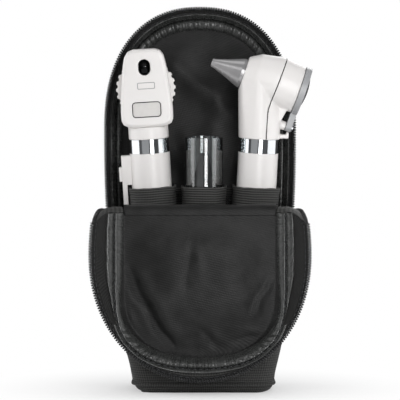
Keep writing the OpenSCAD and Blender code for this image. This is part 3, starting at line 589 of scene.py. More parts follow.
# Satin binding over the seam between wall and lining: narrow at the sides, wide and gathered over the arch
base = caseLine(0, low, 44, 240)
wide = smooth(118, 178, base[:, 1])
rows = []
for share in np.linspace(0, 1, 7):
    inset = mix(5.2, mix(7.8, 10.4, wide), share)
    y = mix(21.2, mix(22.5, 22.3, wide), share ** 0.8) - 0.9 * math.sin(math.pi * share)
    x, up = base[:, 0], base[:, 1]
    shrink = 1 - inset / np.hypot(x, np.maximum(up - springHeight, 0))
    rise = np.where(up > springHeight, springHeight + (up - springHeight) * shrink, up)
    rows.append(np.stack([np.where(up > springHeight, x * shrink, x - np.sign(x) * inset), y, rise], 1))
backBinding = stripAlong("backBinding", rows[::-1], np.array([0, 0.7, 0]), satinTape, "case",
                         tray["gatherPitch"], mix(*tray["gatherDepth"], wide), 3.0)
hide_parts("back_binding")

facing = np.array([atDepth(caseLine(i, low, 44, 240), y) for i, y in
                   [(4.9, 19.9), (4.5, 19.0), (3.9, 18.1), (3.3, 17.3), (2.9, 16.7)]])
stripAlong("backTapeFacing", facing, np.array([0, 0.6, 0]), satinTape, "case", 7.0, 0.3, 6.0)

# Lining of the tray, with the soft creases that the tools press into it
creases = [  # x, z at both ends, width, depth
    (-14, 168, 26, 120, 5.0, 1.1), (22, 172, 2, 112, 5.5, 1.0), (-34, 150, -6, 104, 5.0, 0.9),
    (2, 182, -30, 138, 6.0, 0.8), (30, 128, 8, 104, 4.5, 1.0), (-6, 150, 14, 150, 6.0, 0.7),
    (-10, 128, 4, 100, 4.0, 0.9), (6, 176, 34, 140, 5.0, 0.8)]


def creasesAt(x, z, folds):
    made = np.zeros(np.shape(x))
    for x0, z0, x1, z1, width, depth in folds:
        along = np.array([x1 - x0, z1 - z0], float)
        length = np.linalg.norm(along)
        along /= length
        s = (x - x0) * along[0] + (z - z0) * along[1]
        bend = 0.045 * length * np.sin(s / length * 4.0 + x0)
        off = (x - x0) * -along[1] + (z - z0) * along[0] - bend
        made += depth * bump1d(off, 0, width) * smooth(-6, 8, s) * (1 - smooth(length - 8, length + 6, s))
    return made


panel, gap = archPanel(4.5, springHeight, case["height"] - tray["liningInset"],
                       lambda z: float(halfWidth(z)) - tray["liningInset"], case["archPower"], 71, 70, 60)
x, z = panel[..., 0], panel[..., 1]
free = smooth(100, 114, z) * smooth(0, 8, gap)
wave = creasesAt(x, z, creases) + tray["liningCrumple"] * roughlyOver(np.stack([x, 0 * x, z], -1), 13, 1.0)
face = tray["liningAt"] - np.maximum(wave, -0.3) * free - 1.2 * (1 - smooth(0, 2.6, gap))
backLining = sheetObject("backLining", np.stack([x, face, z], -1),
                         np.stack([x, np.full(x.shape, tray["liningBack"]), z], -1), liningTwill, "case",
                         flip=True)
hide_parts("back_lining")
print("tray made")


# Pouch: one padded wall round the front and the sides, rolled under at the foot
pouch = {"leftSettle": 2.9, "rightShare": 0.175, "bulge": 0.7, "crumple": 0.45, "footCrumple": 0.5,
         "hemRadius": 1.05, "footPipingAt": 4.4, "footPiping": 0.95}


def pouchPlan(z, inset, back):
    # [x, y] round the pouch at one height, from the right back corner to the left back corner
    reach, corner = case["backInset"] - inset, case["corner"]
    edge = float(halfWidth(z)) - case["backInset"]
    settle = pouch["leftSettle"] * (1 - float(smooth(10, 46, z)))      # the cloth slumps in at the left foot
    t = np.linspace(math.pi / 2, 0, 15)
    rear = np.stack([edge + reach * np.cos(t), backFace - corner + (back - backFace + corner) * np.sin(t)], 1)
    side = np.stack([np.full(12, edge + reach),
                     np.linspace(backFace - corner, corner - backFace, 14)[1:-1]], 1)
    front = np.stack([edge + reach * np.cos(t[::-1] - math.pi / 2),
                      corner - backFace + (corner - inset) * np.sin(t[::-1] - math.pi / 2)], 1)[::-1]
    front = front[np.argsort(-front[:, 1])]
    face = np.stack([np.linspace(edge, 0, 20)[1:], np.full(19, inset - backFace)], 1)
    half = np.vstack([rear, side, front, face])
    whole = np.vstack([half, half[::-1][1:] * [-1, 1]])
    slump = smooth(0, -edge, whole[:, 0]) + pouch["rightShare"] * smooth(0, edge, whole[:, 0])
    whole[:, 0] += settle * slump
    return whole


def footInset(z):
    return np.interp(z, [0, 0.5, 1.1, 1.9, 3, 4.6, 7, 14], [3.4, 1.7, 0.9, 0.3, -0.1, -0.5, -0.1, 0])


def pouchSkin(heights, inner, back, puff):
    rows = []
    for z in heights:
        plan = pouchPlan(z, float(footInset(z)) + inner, back)
        row = np.column_stack([plan, np.full(len(plan), z)])
        if puff:
            way = np.gradient(plan, axis=0)
            normal = np.stack([-way[:, 1], way[:, 0]], 1)
            normal *= np.sign((normal * plan).sum(1))[:, None] / np.linalg.norm(normal, axis=1)[:, None]
            calm = smooth(backFace + 1, 14, plan[:, 1]) * (1 - smooth(pouchTop - 8, pouchTop, z))
            lump = (pouch["bulge"] * math.sin(math.pi * min(1, z / pouchTop))
                    + pouch["crumple"] * roughlyOver(row, 17, 1.0) + 0.2 * roughlyOver(row, 6, 3.0)
                    + pouch["footCrumple"] * roughlyOver(row * [1, 1, 0.6], 7, 8.0) * math.exp(-z / 12))
            row[:, :2] += normal * (lump * calm)[:, None]
        rows.append(row)
    return np.array(rows)


heights = np.concatenate([[0, 0.3, 0.7, 1.2, 1.9, 2.8, 3.8, 5.0], np.linspace(6.5, pouchTop, 46)])
outer = pouchSkin(heights, 0, backFace, True)
inner = pouchSkin(heights, case["wall"], backFace - case["wall"], False)
pouchShell = sheetObject("pouchShell", outer, inner, shellNylon, "case")
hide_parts("pouch_wall")

heights = np.linspace(3.6, pouchTop - 0.2, 40)
inner = pouchSkin(heights, case["wall"] + 0.12, backFace - case["wall"] - 0.12, False)
loose = pouchSkin(heights, case["wall"] + 0.55, backFace - case["wall"] - 0.55, False)
pouchLining = sheetObject("pouchLining", inner, loose, liningTwill, "case")
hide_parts("pouch_lining")

# Rolled hem along the pouch's mouth, and piping round the foot
plan = pouchPlan(pouchTop, case["wall"] / 2, backFace)
plan = plan[plan[:, 1] < zipPlane + 3]
hem = np.column_stack([plan, pouchTop + 0.25 + 0.12 * np.sin(np.arange(len(plan)) * 0.9)])
pouchHem = loftObject("pouchHem", tubeRings(hem, pouch["hemRadius"], 10), satinTape, "case", "satin_binding")
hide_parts("front_hem")
plan = pouchPlan(pouch["footPipingAt"], -0.75, backFace)
plan = plan[plan[:, 1] < 22]
foot = np.column_stack([plan, np.full(len(plan), pouch["footPipingAt"])])
loftObject("footPiping", tubeRings(foot, pouch["footPiping"], 10), shellNylon, "case", "shell_nylon")
print("pouch made")


# Cover, hanging folded down in front of the pouch; share runs from its panel (0) to its zip (1)
cover = {
    "width": 105.4, "panelWidth": 73.6, "low": 7.6, "turn": 68, "panelTurn": 50, "panelLow": 18.3,
    "panelPower": 2.4, "zipPower": 2.05, "top": 88, "draw": 1.7, "shoulderDrop": 4.6, "back": -28.3,
    "face": -30.1, "rim": -42.1, "crown": 0.5, "crease": 0.35, "belly": 3.8,
}


def coverHalf(z, share):
    # half width at height z of the line at one share between panel and zip
    turn, low = mix(cover["panelTurn"], cover["turn"], share), mix(cover["panelLow"], cover["low"], share)
    half = mix(cover["panelWidth"], cover["width"], share) / 2
    drawn = half - share * cover["draw"] * (np.maximum(z - turn, 0) / (cover["top"] - turn)) ** 2
    down = np.clip((turn - z) / (turn - low), 0, 1)
    power = mix(cover["panelPower"], cover["zipPower"], share)
    return drawn * (1 - down ** power) ** (1 / power)


def coverLine(share, sides=44, arc=200):
    # the line at one share, from the left shoulder round the hanging end to the right shoulder
    turn, low = mix(cover["panelTurn"], cover["turn"], share), mix(cover["panelLow"], cover["low"], share)
    top = cover["top"] - cover["shoulderDrop"] * float(smooth(0.45, 1, share)) ** 1.5
    z = np.linspace(top, turn, sides, endpoint=False)
    x, down = superArc(np.linspace(math.pi, 0, arc + 1), mix(cover["panelWidth"], cover["width"], share) / 2,
                       turn - low, mix(cover["panelPower"], cover["zipPower"], share))
    left = np.stack([-coverHalf(z, share), z], 1)
    return np.vstack([left, np.stack([x, turn - down], 1), left[::-1] * [-1, 1]])


def coverDepth(share):
    return mix(cover["face"], cover["rim"], share)


def coverRow(share, off):
    return atDepth(coverLine(share), coverDepth(share) + off)


def coverRows(shares, offs):
    return np.array([coverRow(s, o) for s, o in zip(shares, offs)])


lineShares = np.linspace(-0.05, 1, 43)
lineTable = np.array([coverLine(s) for s in lineShares])
middleLine = coverLine(0.5)
dropped = cover["top"] - middleLine[:, 1]
runDown = dropped / dropped.max()                     # 0 at the shoulders, 1 at the round end


def coverAt(shares, off):
    # a line whose share changes along it
    shares = np.broadcast_to(shares, (lineTable.shape[1],))
    points = [[np.interp(s, lineShares, lineTable[:, i, k]) for k in (0, 1)] for i, s in enumerate(shares)]
    return atDepth(np.array(points), coverDepth(shares) + off)


# the outside cloth of the cover: crowned panel, then the wall that splays to the zip
panel, gap = archPanel(cover["top"], cover["panelTurn"], cover["panelLow"] - 0.4,
                       lambda z: cover["panelWidth"] / 2 + 0.3, cover["panelPower"], 45)
x, z = panel[..., 0], panel[..., 1]
back = (cover["back"] + cover["crown"] * (1 - np.exp(-np.minimum(gap, 40) / 5))
        + cover["crease"] * roughlyOver(np.stack([x, 0 * x, z], -1), 19, 6.0) * smooth(0, 8, gap))
front = np.full(x.shape, -29.7)
coverPad = sheetObject("coverPad", np.stack([x, front, z], -1), np.stack([x, back, z], -1), shellNylon,
                       "cover", flip=True)
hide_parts("cover_panel")
loftObject("coverPiping", tubeRings(atDepth(coverLine(0.02), cover["back"] + 0.25), 0.95, 10), satinTape,
           "cover", "satin_binding")

shares = [0.0, 0.05, 0.14, 0.26, 0.4, 0.55, 0.7, 0.82, 0.93]
inside = coverRows(shares, [-0.1, -0.35, -0.55, -0.6, -0.45, -0.3, -0.15, 0.0, 0.1])
outside = coverRows(shares, [1.9, 1.95, 2.0, 1.9, 1.7, 1.5, 1.35, 1.2, 1.05])
outside[..., 1] += 0.1 + 0.35 * roughlyOver(outside, 10, 4.0)
coverWall = sheetObject("coverWallCloth", inside, outside, shellNylon, "cover")
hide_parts("cover_gusset")

# bands sewn on the inside of the wall, from the lining outwards; shares of the wall down each side
bandAt = [0, 0.1, 0.39, 0.54, 0.68, 0.82, 0.90, 0.96, 1.0]
liningEdge = np.interp(runDown, bandAt, [0.03, 0.03, 0.10, 0.17, 0.24, 0.16, 0.08, 0.04, 0.02])
innerEdge = np.interp(runDown, bandAt, [0.30, 0.30, 0.28, 0.32, 0.45, 0.69, 0.70, 0.60, 0.50])
outerLow = np.interp(runDown, bandAt, [0.32, 0.32, 0.31, 0.35, 0.48, 0.72, 0.71, 0.55, 0.41])
outerHigh = np.interp(runDown, bandAt, [0.55, 0.56, 0.53, 0.46, 0.50, 0.74, 0.73, 0.57, 0.43])
foot = smooth(0.70, 0.92, runDown)                    # 1 at the round end, 0 up the sides
bandBack = np.array([0, 0.4, 0])
wallOff = [[0, 0.26, 0.55, 0.93], [-0.45, -0.95, -0.65, -0.25]]


def coverBand(name, low, high, lift, material, pitch, depth, seed, part=None, rows=9):
    strip = []
    for t in np.linspace(0, 1, rows):
        shares = mix(low, high, t)
        swell = max(0, math.sin(math.pi * t ** 0.7)) ** 0.6
        strip.append(coverAt(shares, np.interp(shares, *wallOff) - lift * swell))
    strip, depth = np.array(strip), np.broadcast_to(depth, (1, len(runDown)))
    if part is not None:
        strip, depth = strip[:, part], depth[:, part]
    return stripAlong(name, strip, bandBack[None, None], material, "cover", pitch, depth, seed)


# each pair is the value up the sides and the value at the round end
gathers = {"pitch": 3.9, "depth": (0.15, 2.05), "lift": (1.1, 2.6)}
innerSatin = coverBand("coverSatinInner", liningEdge - 0.03, innerEdge, mix(*gathers["lift"], foot),
                       satinTape, gathers["pitch"], mix(*gathers["depth"], foot), 2.0)
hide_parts("cover_binding")
# smooth rolled edge below the gathers
roll = np.flatnonzero(foot > 0.02)
rolled = [coverAt(mix(innerEdge, innerEdge + 0.2, t), -0.6 - 0.9 * math.sin(math.pi * t))[roll]
          for t in np.linspace(0, 1, 7)]
stripAlong("coverSatinRoll", rolled, bandBack[None, None], satinTape, "cover", 14.0, 0.3,
           5.0)
for title, side in (("Left", -1), ("Right", 1)):
    onSide = middleLine[:, 0] * side > 0
    coverBand("coverSatinOuter" + title, outerLow, outerHigh, 0.75, satinTape, 9.0, 0.35,
              9.0, np.flatnonzero(onSide & (runDown < 0.64)))
    coverBand("coverWallBand" + title, outerHigh + 0.015, mix(0.87, 0.80, smooth(0.4, 0.64, runDown)), 0.45,
              zipTapeWeave, 16, 0.2, 4.0, np.flatnonzero(onSide & (runDown < 0.80)))
coverTape = stripAlong("coverZipTape", coverRows([0.80, 0.86, 0.92, 0.965], [-0.5, -0.6, -0.5, -0.35]),
                       np.array([0, 0.9, 0])[None, None], zipTapeWeave, "cover")
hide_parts("cover_zip_tape")

line = coverLine(0.992)
way = np.gradient(line, axis=0)
outward = np.stack([way[:, 1], np.zeros(len(line)), -way[:, 0]], 1)
coverMiddle = [0, 0, 60]
flip = np.sign(((atDepth(line, 0) - coverMiddle) * outward).sum(1))[:, None]
coverCoil = coilAlong("coverZipCoil", atDepth(line, cover["rim"] - 0.05), outward * flip, nylonCoil, "cover",
                      "nylon_coil", zipCoil)
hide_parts("cover_zip_coil")
seamLine = coverAt(innerEdge + 0.01, np.interp(innerEdge, *wallOff) - 0.25)
stitchesAlong("coverStitches", [coverRow(0.87, -0.85), seamLine], sewingThread, "cover",
              seamStitch)

# the lining of the cover: one big cloth, slack, that rounds over into the wall at the lower corners
folds = [  # x, z at both ends, width, depth; a valley has a depth below 0
    (-39, 66, -30, 47, 2.6, -1.5), (-31, 49, -19, 31, 2.5, -2.0), (-20, 33, -13, 20, 2.2, -1.7),
    (-31, 60, -22, 44, 4.0, 0.8), (-23, 46, -10, 26, 4.2, 1.2), (-37, 42, -31, 32, 2.0, 0.9),
    (-37, 34, -24, 22, 1.8, -0.9), (-33, 30, -27, 21, 2.0, 0.8), (-5, 76, -6, 50, 1.8, -0.5),
    (-1, 72, -1, 54, 2.6, 0.4), (1, 31, 9, 22, 1.7, -0.9), (4, 33, 12, 24, 2.2, 0.5),
    (38, 60, 29, 46, 2.0, 0.9), (30, 48, 26, 38, 2.0, 0.6), (33, 56, 24, 40, 2.2, -0.6),
    (18, 27, 37, 25, 1.6, -0.8), (20, 31, 35, 29, 2.0, 0.5)]
edgeLine = coverAt(liningEdge, 0)
leftEdge = edgeLine[: len(edgeLine) // 2 + 1]
edgeLow = leftEdge[:, 2].min()
closer = 1 - np.sin(np.linspace(0, math.pi / 2, 76))            # rows crowd together towards the round end
rowHeights = np.concatenate([np.linspace(cover["top"] - 1, 60, 40, endpoint=False),
                             edgeLow + 0.05 + (60 - edgeLow) * closer])
t = np.linspace(-1, 1, 101)
t = np.sign(t) * (1 - (1 - abs(t)) ** 1.25)
order = np.argsort(leftEdge[:, 2])
half = np.interp(rowHeights, leftEdge[order, 2], -leftEdge[order, 0])
x, z = half[:, None] * t[None], np.repeat(rowHeights[:, None], 101, 1)
probe = np.linspace(0, 0.9, 31)
share = np.zeros(x.shape)
for i, row in enumerate(rowHeights):
    widths = np.array([float(coverHalf(row, s)) for s in probe])
    lowest = max(0.0, (cover["panelLow"] - row) / (cover["panelLow"] - cover["low"]))
    share[i] = np.maximum(np.interp(abs(x[i]), widths, probe), lowest)
edge = np.concatenate([np.stack([half, rowHeights], 1), np.stack([-half, rowHeights], 1)])
gap = np.sqrt((x[:, :, None] - edge[None, None, :, 0]) ** 2
              + (z[:, :, None] - edge[None, None, :, 1]) ** 2).min(-1)
calm = 1 - 0.9 * smooth(74, 87, z)
spot = np.stack([x, 0 * x, z], -1)
wave = creasesAt(x, z, folds) + 0.35 * roughlyOver(spot, 15, 7.0) + 0.12 * roughlyOver(spot, 4.5, 3.0)
belly = cover["belly"] * smooth(2, 26, gap) * (1 - smooth(67, 86, z))
slack = wave * smooth(1, 7, gap) * calm + belly + 0.35 * smooth(80, 87, z)
face = coverDepth(share * (1 - 0.25 * smooth(0, 6, gap))) - 0.75 - slack
face = np.minimum(face, coverDepth(share) - 0.65)
behind = np.stack([x, coverDepth(share) - 0.12, z], -1)
coverLining = sheetObject("coverLining", np.stack([x, face, z], -1), behind, liningTwill, "cover")
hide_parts("cover_lining")
print("cover made")


# Fold: the lining rolls over the hem, with the shell cloth under it
def smoothPath(points, count):
    # Catmull-Rom curve through the points
    p = np.asarray(points, float)
    p = np.vstack([2 * p[0] - p[1], p, 2 * p[-1] - p[-2]])
    made = []
    for t in np.linspace(0, len(p) - 3 - 1e-9, count):
        k = int(t)
        f = t - k
        a, b, c, d = p[k:k + 4]
        made.append(0.5 * (2 * b + (c - a) * f + (2 * a - 5 * b + 4 * c - d) * f * f
                           + (3 * b - a - 3 * c + d) * f ** 3))
    return np.array(made)


def foldSheet(name, path, count, half, thick, material, ripple):
    line = smoothPath(path, count)
    way = np.gradient(line, axis=0)
    normal = np.stack([way[:, 1], -way[:, 0]], 1)
    normal /= np.linalg.norm(normal, axis=1)[:, None]
    if (normal[len(line) // 2] @ [0, 1]) < 0:
        normal = -normal
    columns = 85
    x = np.linspace(-half, half, columns)
    out, under = [], []
    for i, (q, n) in enumerate(zip(line, normal)):
        s = i / (len(line) - 1)
        point = np.column_stack([x, np.full(columns, q[0]), np.full(columns, q[1])])
        lift = ripple * roughlyOver(point * [1, 0.5, 0.5], 9, 3.0) * math.sin(math.pi * s) ** 0.5
        out.append(point + np.outer(lift, [0, n[0], n[1]]))
        under.append(point - np.array([0, n[0], n[1]]) * thick)
    return sheetObject(name, out, under, material, None)


foldCloth = foldSheet("foldCloth", [(-23.5, 72), (-23.4, 80), (-23.35, 86), (-23.8, 89.6), (-25.2, 91.5),
                                    (-27.4, 92.1), (-29.4, 91.4), (-30.6, 89.6), (-31.05, 87), (-31.1, 85)],
                      34, 36.9, 0.55, liningTwill, 0.35)
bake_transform(foldCloth)
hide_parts("fold_web")
foldOuter = foldSheet("foldOuterCloth",
                      [(-25.9, 86.2), (-26.1, 88.8), (-27.1, 90.2), (-28.2, 89.2), (-28.5, 86.4)],
                      16, 36.6, 0.6, shellNylon, 0.0)
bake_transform(foldOuter)

# Gathered wall over each shoulder, with the zip chain along its edge
ear = {"pucker": 0.55, "pitch": 3.4, "thick": 0.9}
shoulder = [(47.3, 12.8, 88.4), (47.6, 4, 88.6), (48.2, -8, 88.9), (49.0, -20, 88.6), (49.6, -31, 87.0),
            (50.2, -38, 84.9), (50.4, -41.6, 83.0)]
root = [(45.6, 12.8, 87.6), (45.0, 2, 87.8), (44.0, -10, 88.2), (41.6, -19, 89.2), (38.8, -25.5, 91.0),
        (37.0, -29.6, 90.2), (36.6, -31.0, 87.2)]


def earPieces(side, title, node):
    count, across = 46, 13
    edge, seamEdge = smoothPath(shoulder, count), smoothPath(root, count)
    top, under = [], []
    for j, t in enumerate(np.linspace(0, 1, across)):
        run = np.linspace(0, 1, count)
        row = mix(seamEdge, edge, t)
        row[:, 2] += 1.3 * math.sin(math.pi * t) * smooth(0, 0.5, run) * (1 - smooth(0.8, 1, run))
        last = coverLine(t)[0]
        onCover = np.array([-last[0], coverDepth(t) - 0.2, last[1] + 0.4])
        row = mix(row, onCover, smooth(0.78, 1, run)[:, None])
        gather = puckered(lengthsAlong(edge), np.array([t]), ear["pitch"], 2.0 + side)[:, 0]
        row[:, 2] += ear["pucker"] * (gather - 0.4) * math.sin(math.pi * min(1, t * 1.15))
        top.append(row * [side, 1, 1])
        under.append((row - np.array([0, 0, ear["thick"]])) * [side, 1, 1])
    cloth = sheetObject(title + "ShoulderCloth", top, under, shellNylon, None, flip=side < 0)
    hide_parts(node)
    away = np.column_stack([np.full(count, 0.8), np.full(count, -0.1), np.linspace(0.5, 0.3, count)])
    tape = [edge + away * k for k in (-2.0, -0.9, 0.45)]
    tape = np.array([row + [0, 0, 0.35 - 0.1 * k] for k, row in enumerate(tape)]) * [side, 1, 1]
    tape = sheetObject(title + "ShoulderTape", tape, tape - np.array([0.0, 0, 0.7]), zipTapeWeave, None,
                       flip=side < 0)
    coil = coilAlong(title + "ShoulderCoil", (edge + away * 0.6) * [side, 1, 1], away * [side, 1, 1],
                     nylonCoil, None, "nylon_coil", zipCoil)
    for piece in (cloth, tape, coil):
        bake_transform(piece)


earPieces(-1, "left", "left_ear")
earPieces(1, "right", "right_ear")
print("fold and shoulders made")


# Tool frames: each tool stands on the foot board, tilted forward and leaning a little to its side
toolAt = {"left": ((-18.6, 12.8, 4.1), -3.3), "tube": ((1.9, 12.8, 4.1), 0.0),
          "right": ((23.2, 12.8, 4.1), 3.0)}
tilt = 5.5        # degrees that each tool leans towards the cover


def toolMatrix(which):
    foot, lean = toolAt[which]
    return (Matrix.Translation(foot) @ Matrix.Rotation(math.radians(lean), 4, "Y")
            @ Matrix.Rotation(math.radians(tilt), 4, "X"))


def placed(points, matrix):
    flat = np.asarray(points, float).reshape(-1, 3)
    turn = np.array(matrix)
    return (flat @ turn[:3, :3].T + turn[:3, 3]).reshape(np.shape(points))


neckHeight = 121.5
sightFrame = (toolMatrix("right") @ Matrix.Translation((0, 0, neckHeight + 29.1))
              @ Matrix.Rotation(math.radians(16.4 - 90), 4, "Y"))

# Elastic band: a flat strip on the lining, and one loop round each tool that dips back to it between them
band = {
    "low": 77, "high": 97, "thick": 1.15, "air": 0.35, "foot": 21.5, "wave": 0.35, "dip": 0.5, "lip": 0.55,
    "legRise": 0.9, "lumps": 0.12, "rows": 21, "stripLow": 81.2, "stripHigh": 100.0, "stripBack": 22.75,
}
loopsAt = [("left", 10.0, "left_loop", "leftLoop"), ("tube", 9.5, "tube_loop", "tubeLoop"),
           ("right", 10.0, "right_loop", "rightLoop")]
for which, radius, node, title in loopsAt:
    matrix = toolMatrix(which)
    inner, outer = [], []
    for k in range(band["rows"]):
        up = k / (band["rows"] - 1)
        lip = band["lip"] * math.exp(-((k - band["rows"] + 1) / 2.2) ** 2)     # the top edge curls out
        for skin, extra in ((inner, 0.0), (outer, band["thick"])):
            r = radius + band["air"] + extra
            angle = np.linspace(math.pi * 1.02, math.pi * 1.98, 49)
            arc = np.stack([(r + lip) * np.cos(angle), (r + lip) * np.sin(angle),
                            np.full(49, mix(band["low"], band["high"], up))], 1)
            waver = band["wave"] * roughlyOver(arc * [1, 1, 0.3], 5, 2.0 + radius)
            arc[:, 2] += waver * smooth(0.3, 1, up) + band["dip"] * np.sin(angle - math.pi)
            if extra:
                arc[:, :2] *= (1 + band["lumps"] * roughlyOver(arc, 7, 4.0) / r)[:, None]
            arc = placed(arc, matrix)
            back = np.linspace(0, 1, 9)[1:]
            legs = [np.column_stack([np.full(8, end[0]), mix(end[1], band["foot"], back),
                                     end[2] + band["legRise"] * back]) for end in (arc[0], arc[-1])]
            skin.append(np.vstack([legs[0][::-1], arc, legs[1]]))
    loop = sheetObject(title, outer, inner, ribbedElastic, "case")
    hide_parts(node)
x = np.linspace(-38, 39, 60)
back, front = [], []
for k in range(band["rows"]):
    z = mix(band["stripLow"], band["stripHigh"], k / (band["rows"] - 1))
    line = np.column_stack([x, np.full(60, band["stripBack"]), np.full(60, z)])
    back.append(line)
    front.append(line - [0, 1.0, 0] + np.outer(0.15 * roughlyOver(line, 5, 2.0), [0, 0, 1]))
bandStrip = sheetObject("bandStrip", front, back, ribbedElastic, "case")
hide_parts("band_strip")
tacks = []                                      # two short rows of thread where the band dips to the lining
for x in (-36.9, -10.6, 14.6, 37.9):
    for step in (-0.5, 0.5):
        tacks.append(np.array([[x + step, 21.7, z] for z in np.linspace(82.5, 98.5, 24)]))
stitchesAlong("bandTacks", tacks, sewingThread, "case",
              {"length": 1.5, "gap": 0.5, "radius": 0.26})
print("elastic made")


# Moulded shells: the CAD shells with their edges and joints rolled off as a mould leaves them
moulding = {"voxel": 0.32, "soften": 7, "keep": 0.5}


def mouldedShell(title, node, body):
    mesh = bpy.data.objects[node].data.copy()
    made = bpy.data.objects.new(title, mesh)
    bpy.context.scene.collection.objects.link(made)
    mesh.materials.clear()
    mesh.materials.append(whiteAbs)
    voxels = made.modifiers.new("voxels", "REMESH")
    voxels.mode = "VOXEL"
    voxels.voxel_size = moulding["voxel"] * mm
    voxels.use_smooth_shade = True
    soften = made.modifiers.new("soften", "SMOOTH")
    soften.factor = 0.5
    soften.iterations = moulding["soften"]
    fewer = made.modifiers.new("fewer", "DECIMATE")
    fewer.ratio = moulding["keep"]
    depsgraph = bpy.context.evaluated_depsgraph_get()
    final = bpy.data.meshes.new_from_object(made.evaluated_get(depsgraph))
    made.modifiers.clear()
    made.data = final
    final.name = title
    final.shade_smooth()
    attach(made, body)
    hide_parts(node)
    return made


mouldedShell("headFrontCover", "head_front_cover", "ophthalmoscope")
mouldedShell("headRearShell", "head_rear_shell", "ophthalmoscope")
otoscopeShells = [mouldedShell("otoscopeFrontShell", "otoscope_front_shell", "otoscope"),
                  mouldedShell("otoscopeRearShell", "otoscope_rear_shell", "otoscope")]

# Everything else keeps its CAD shape, with its edges eased
eased = {
    0.5: ["ophthalmoscope_clip", "otoscope_clip", "ophthalmoscope_switch", "otoscope_switch"],
    0.35: ["window_frame", "lens_dial", "brow_rest", "tube_cap", "head_badge", "slider_tab", "zip_slider"],
    0.25: ["ophthalmoscope_handle", "otoscope_handle", "ophthalmoscope_cap", "otoscope_cap",
           "ophthalmoscope_ring", "otoscope_ring", "specula_tube", "window_pin", "foot_board"],
}
for width, names in eased.items():
    for name in names:
        node = bpy.data.objects[name]
        ease = node.modifiers.new("easedEdges", "BEVEL")
        ease.width = width * mm
        ease.segments = 3
        ease.limit_method = "ANGLE"
        ease.angle_limit = math.radians(32)
        ease.use_clamp_overlap = True
        ease.harden_normals = False
print("tools eased")

# Painted shade inside the sight hole: a black liner and a black stop, which read as a deep dark opening with
# the mirror's bright edge in it
leftTool, rightTool = toolMatrix("left"), toolMatrix("right")
sight = {"height": neckHeight + 35, "lift": 0.9, "slot": 1.05, "edge": -3.9}


def sightRing(radius, y):
    # the hole's outline: a circle pulled apart into an upright slot
    angle = np.linspace(0, 2 * math.pi, 40, endpoint=False)
    up = sight["height"] + sight["lift"] + radius * np.sin(angle) + sight["slot"] * np.sign(np.sin(angle))
    return np.stack([radius * np.cos(angle), np.full(40, y), up], 1)


def sightLoft(title, profile, **rest):
    # profile is [radius, y]
    return loftObject(title, placed(np.array([sightRing(r, y) for r, y in profile]), leftTool),
                      blackSpeculaAndHoleShade, "ophthalmoscope", "dark_plastic", **rest)


# painted shade: a black liner down the hole and a black stop across it, where only shade would be
sightLoft("sightThroat", [(2.88, -9.85), (2.85, -9.0), (2.7, -3.2), (2.5, -3.2), (2.66, -9.0), (2.7, -9.85),
                          (2.88, -9.85)], capEnds=False)
sightLoft("sightBaffle", [(0.02, -3.6), (2.6, -3.6), (2.62, -3.3), (0.02, -3.3)])
edge = [(x, sight["edge"], sight["height"] + 1 + 0.06 * x) for x in (-2.5, 0, 2.5)]
loftObject("mirrorEdge", tubeRings(placed(edge, leftTool), 0.22, 8), springSteel, "ophthalmoscope",
           "spring_steel")


def frameLine(title, centre, size, corner, radius, material):
    # a thin rounded line round a flat rectangle on the head's front face
    w, h = size[0] / 2 - corner, size[1] / 2 - corner
    path = []
    for k, (sx, sz) in enumerate(((1, 1), (-1, 1), (-1, -1), (1, -1))):
        for a in np.linspace(k * math.pi / 2, (k + 1) * math.pi / 2, 7):
            path.append([centre[0] + sx * w + corner * math.cos(a), headFace,
                         centre[1] + sz * h + corner * math.sin(a)])
    path.append(path[0])
    return loftObject(title, tubeRings(placed(path, leftTool), radius, 8), material, "ophthalmoscope",
                      "dark_plastic")


headFace = -10.02
frameLine("plateShadowLine", (0, neckHeight + 15), (13.9, 7.3), 1.5, 0.2, blackPolypropylene)
frameLine("slotLine", (0.4, neckHeight + 26.8), (8.4, 3.0), 0.5, 0.13, greyAbs)


# Joint line between the otoscope's shells: a dark bead along the gap, found by casting rays onto both shells
seam = {"radius": 0.24, "sink": 0.05, "reach": 0.5}
route = smoothPath([(3.3, 121.9), (3.3, 130), (3.5, 135.4), (4.5, 139.8), (8.4, 151.8), (12.5, 164.2)], 80)
turnBack = rightTool.inverted()
skins = [BVHTree.FromPolygons([shell.matrix_world @ v.co for v in shell.data.vertices],
                              [p.vertices[:] for p in shell.data.polygons]) for shell in otoscopeShells]
for title, side in (("Near", -1), ("Far", 1)):
    way = rightTool.to_3x3() @ Vector((0, -side, 0))
    bead = []
    for x, z in route:
        found = []
        for skin, shift in zip(skins, (-seam["reach"], seam["reach"])):
            hit = skin.ray_cast(rightTool @ Vector((x + shift, 40 * side, z)) * mm, way)[0]
            if hit is not None:
                found.append((turnBack @ (hit / mm)).y)
        if found:
            bead.append([x, sum(found) / len(found) - side * seam["sink"], z])
    loftObject("shellJoint" + title, tubeRings(placed(bead, rightTool), seam["radius"], 6),
               blackPolypropylene, "otoscope", "dark_plastic")

# Magnifier: a domed lens in its rim
magnifier = {"middle": 1.4, "radius": 9.55, "out": -23.3, "rise": 1.7, "back": -20.75}
profile = [(0.02, magnifier["out"])]
for share in np.linspace(0.12, 1, 14):
    profile.append((magnifier["radius"] * share, magnifier["out"] + magnifier["rise"] * share ** 2))
profile += [(magnifier["radius"], magnifier["back"]), (0.02, magnifier["back"])]
dome = latheRings(profile, 72) + np.array([magnifier["middle"], 0, 0])
lens = loftObject("windowLensDome", placed(dome, sightFrame), crownGlass, "window", "lens_glass", flip=True)
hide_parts("window_lens")
print("tool details made")


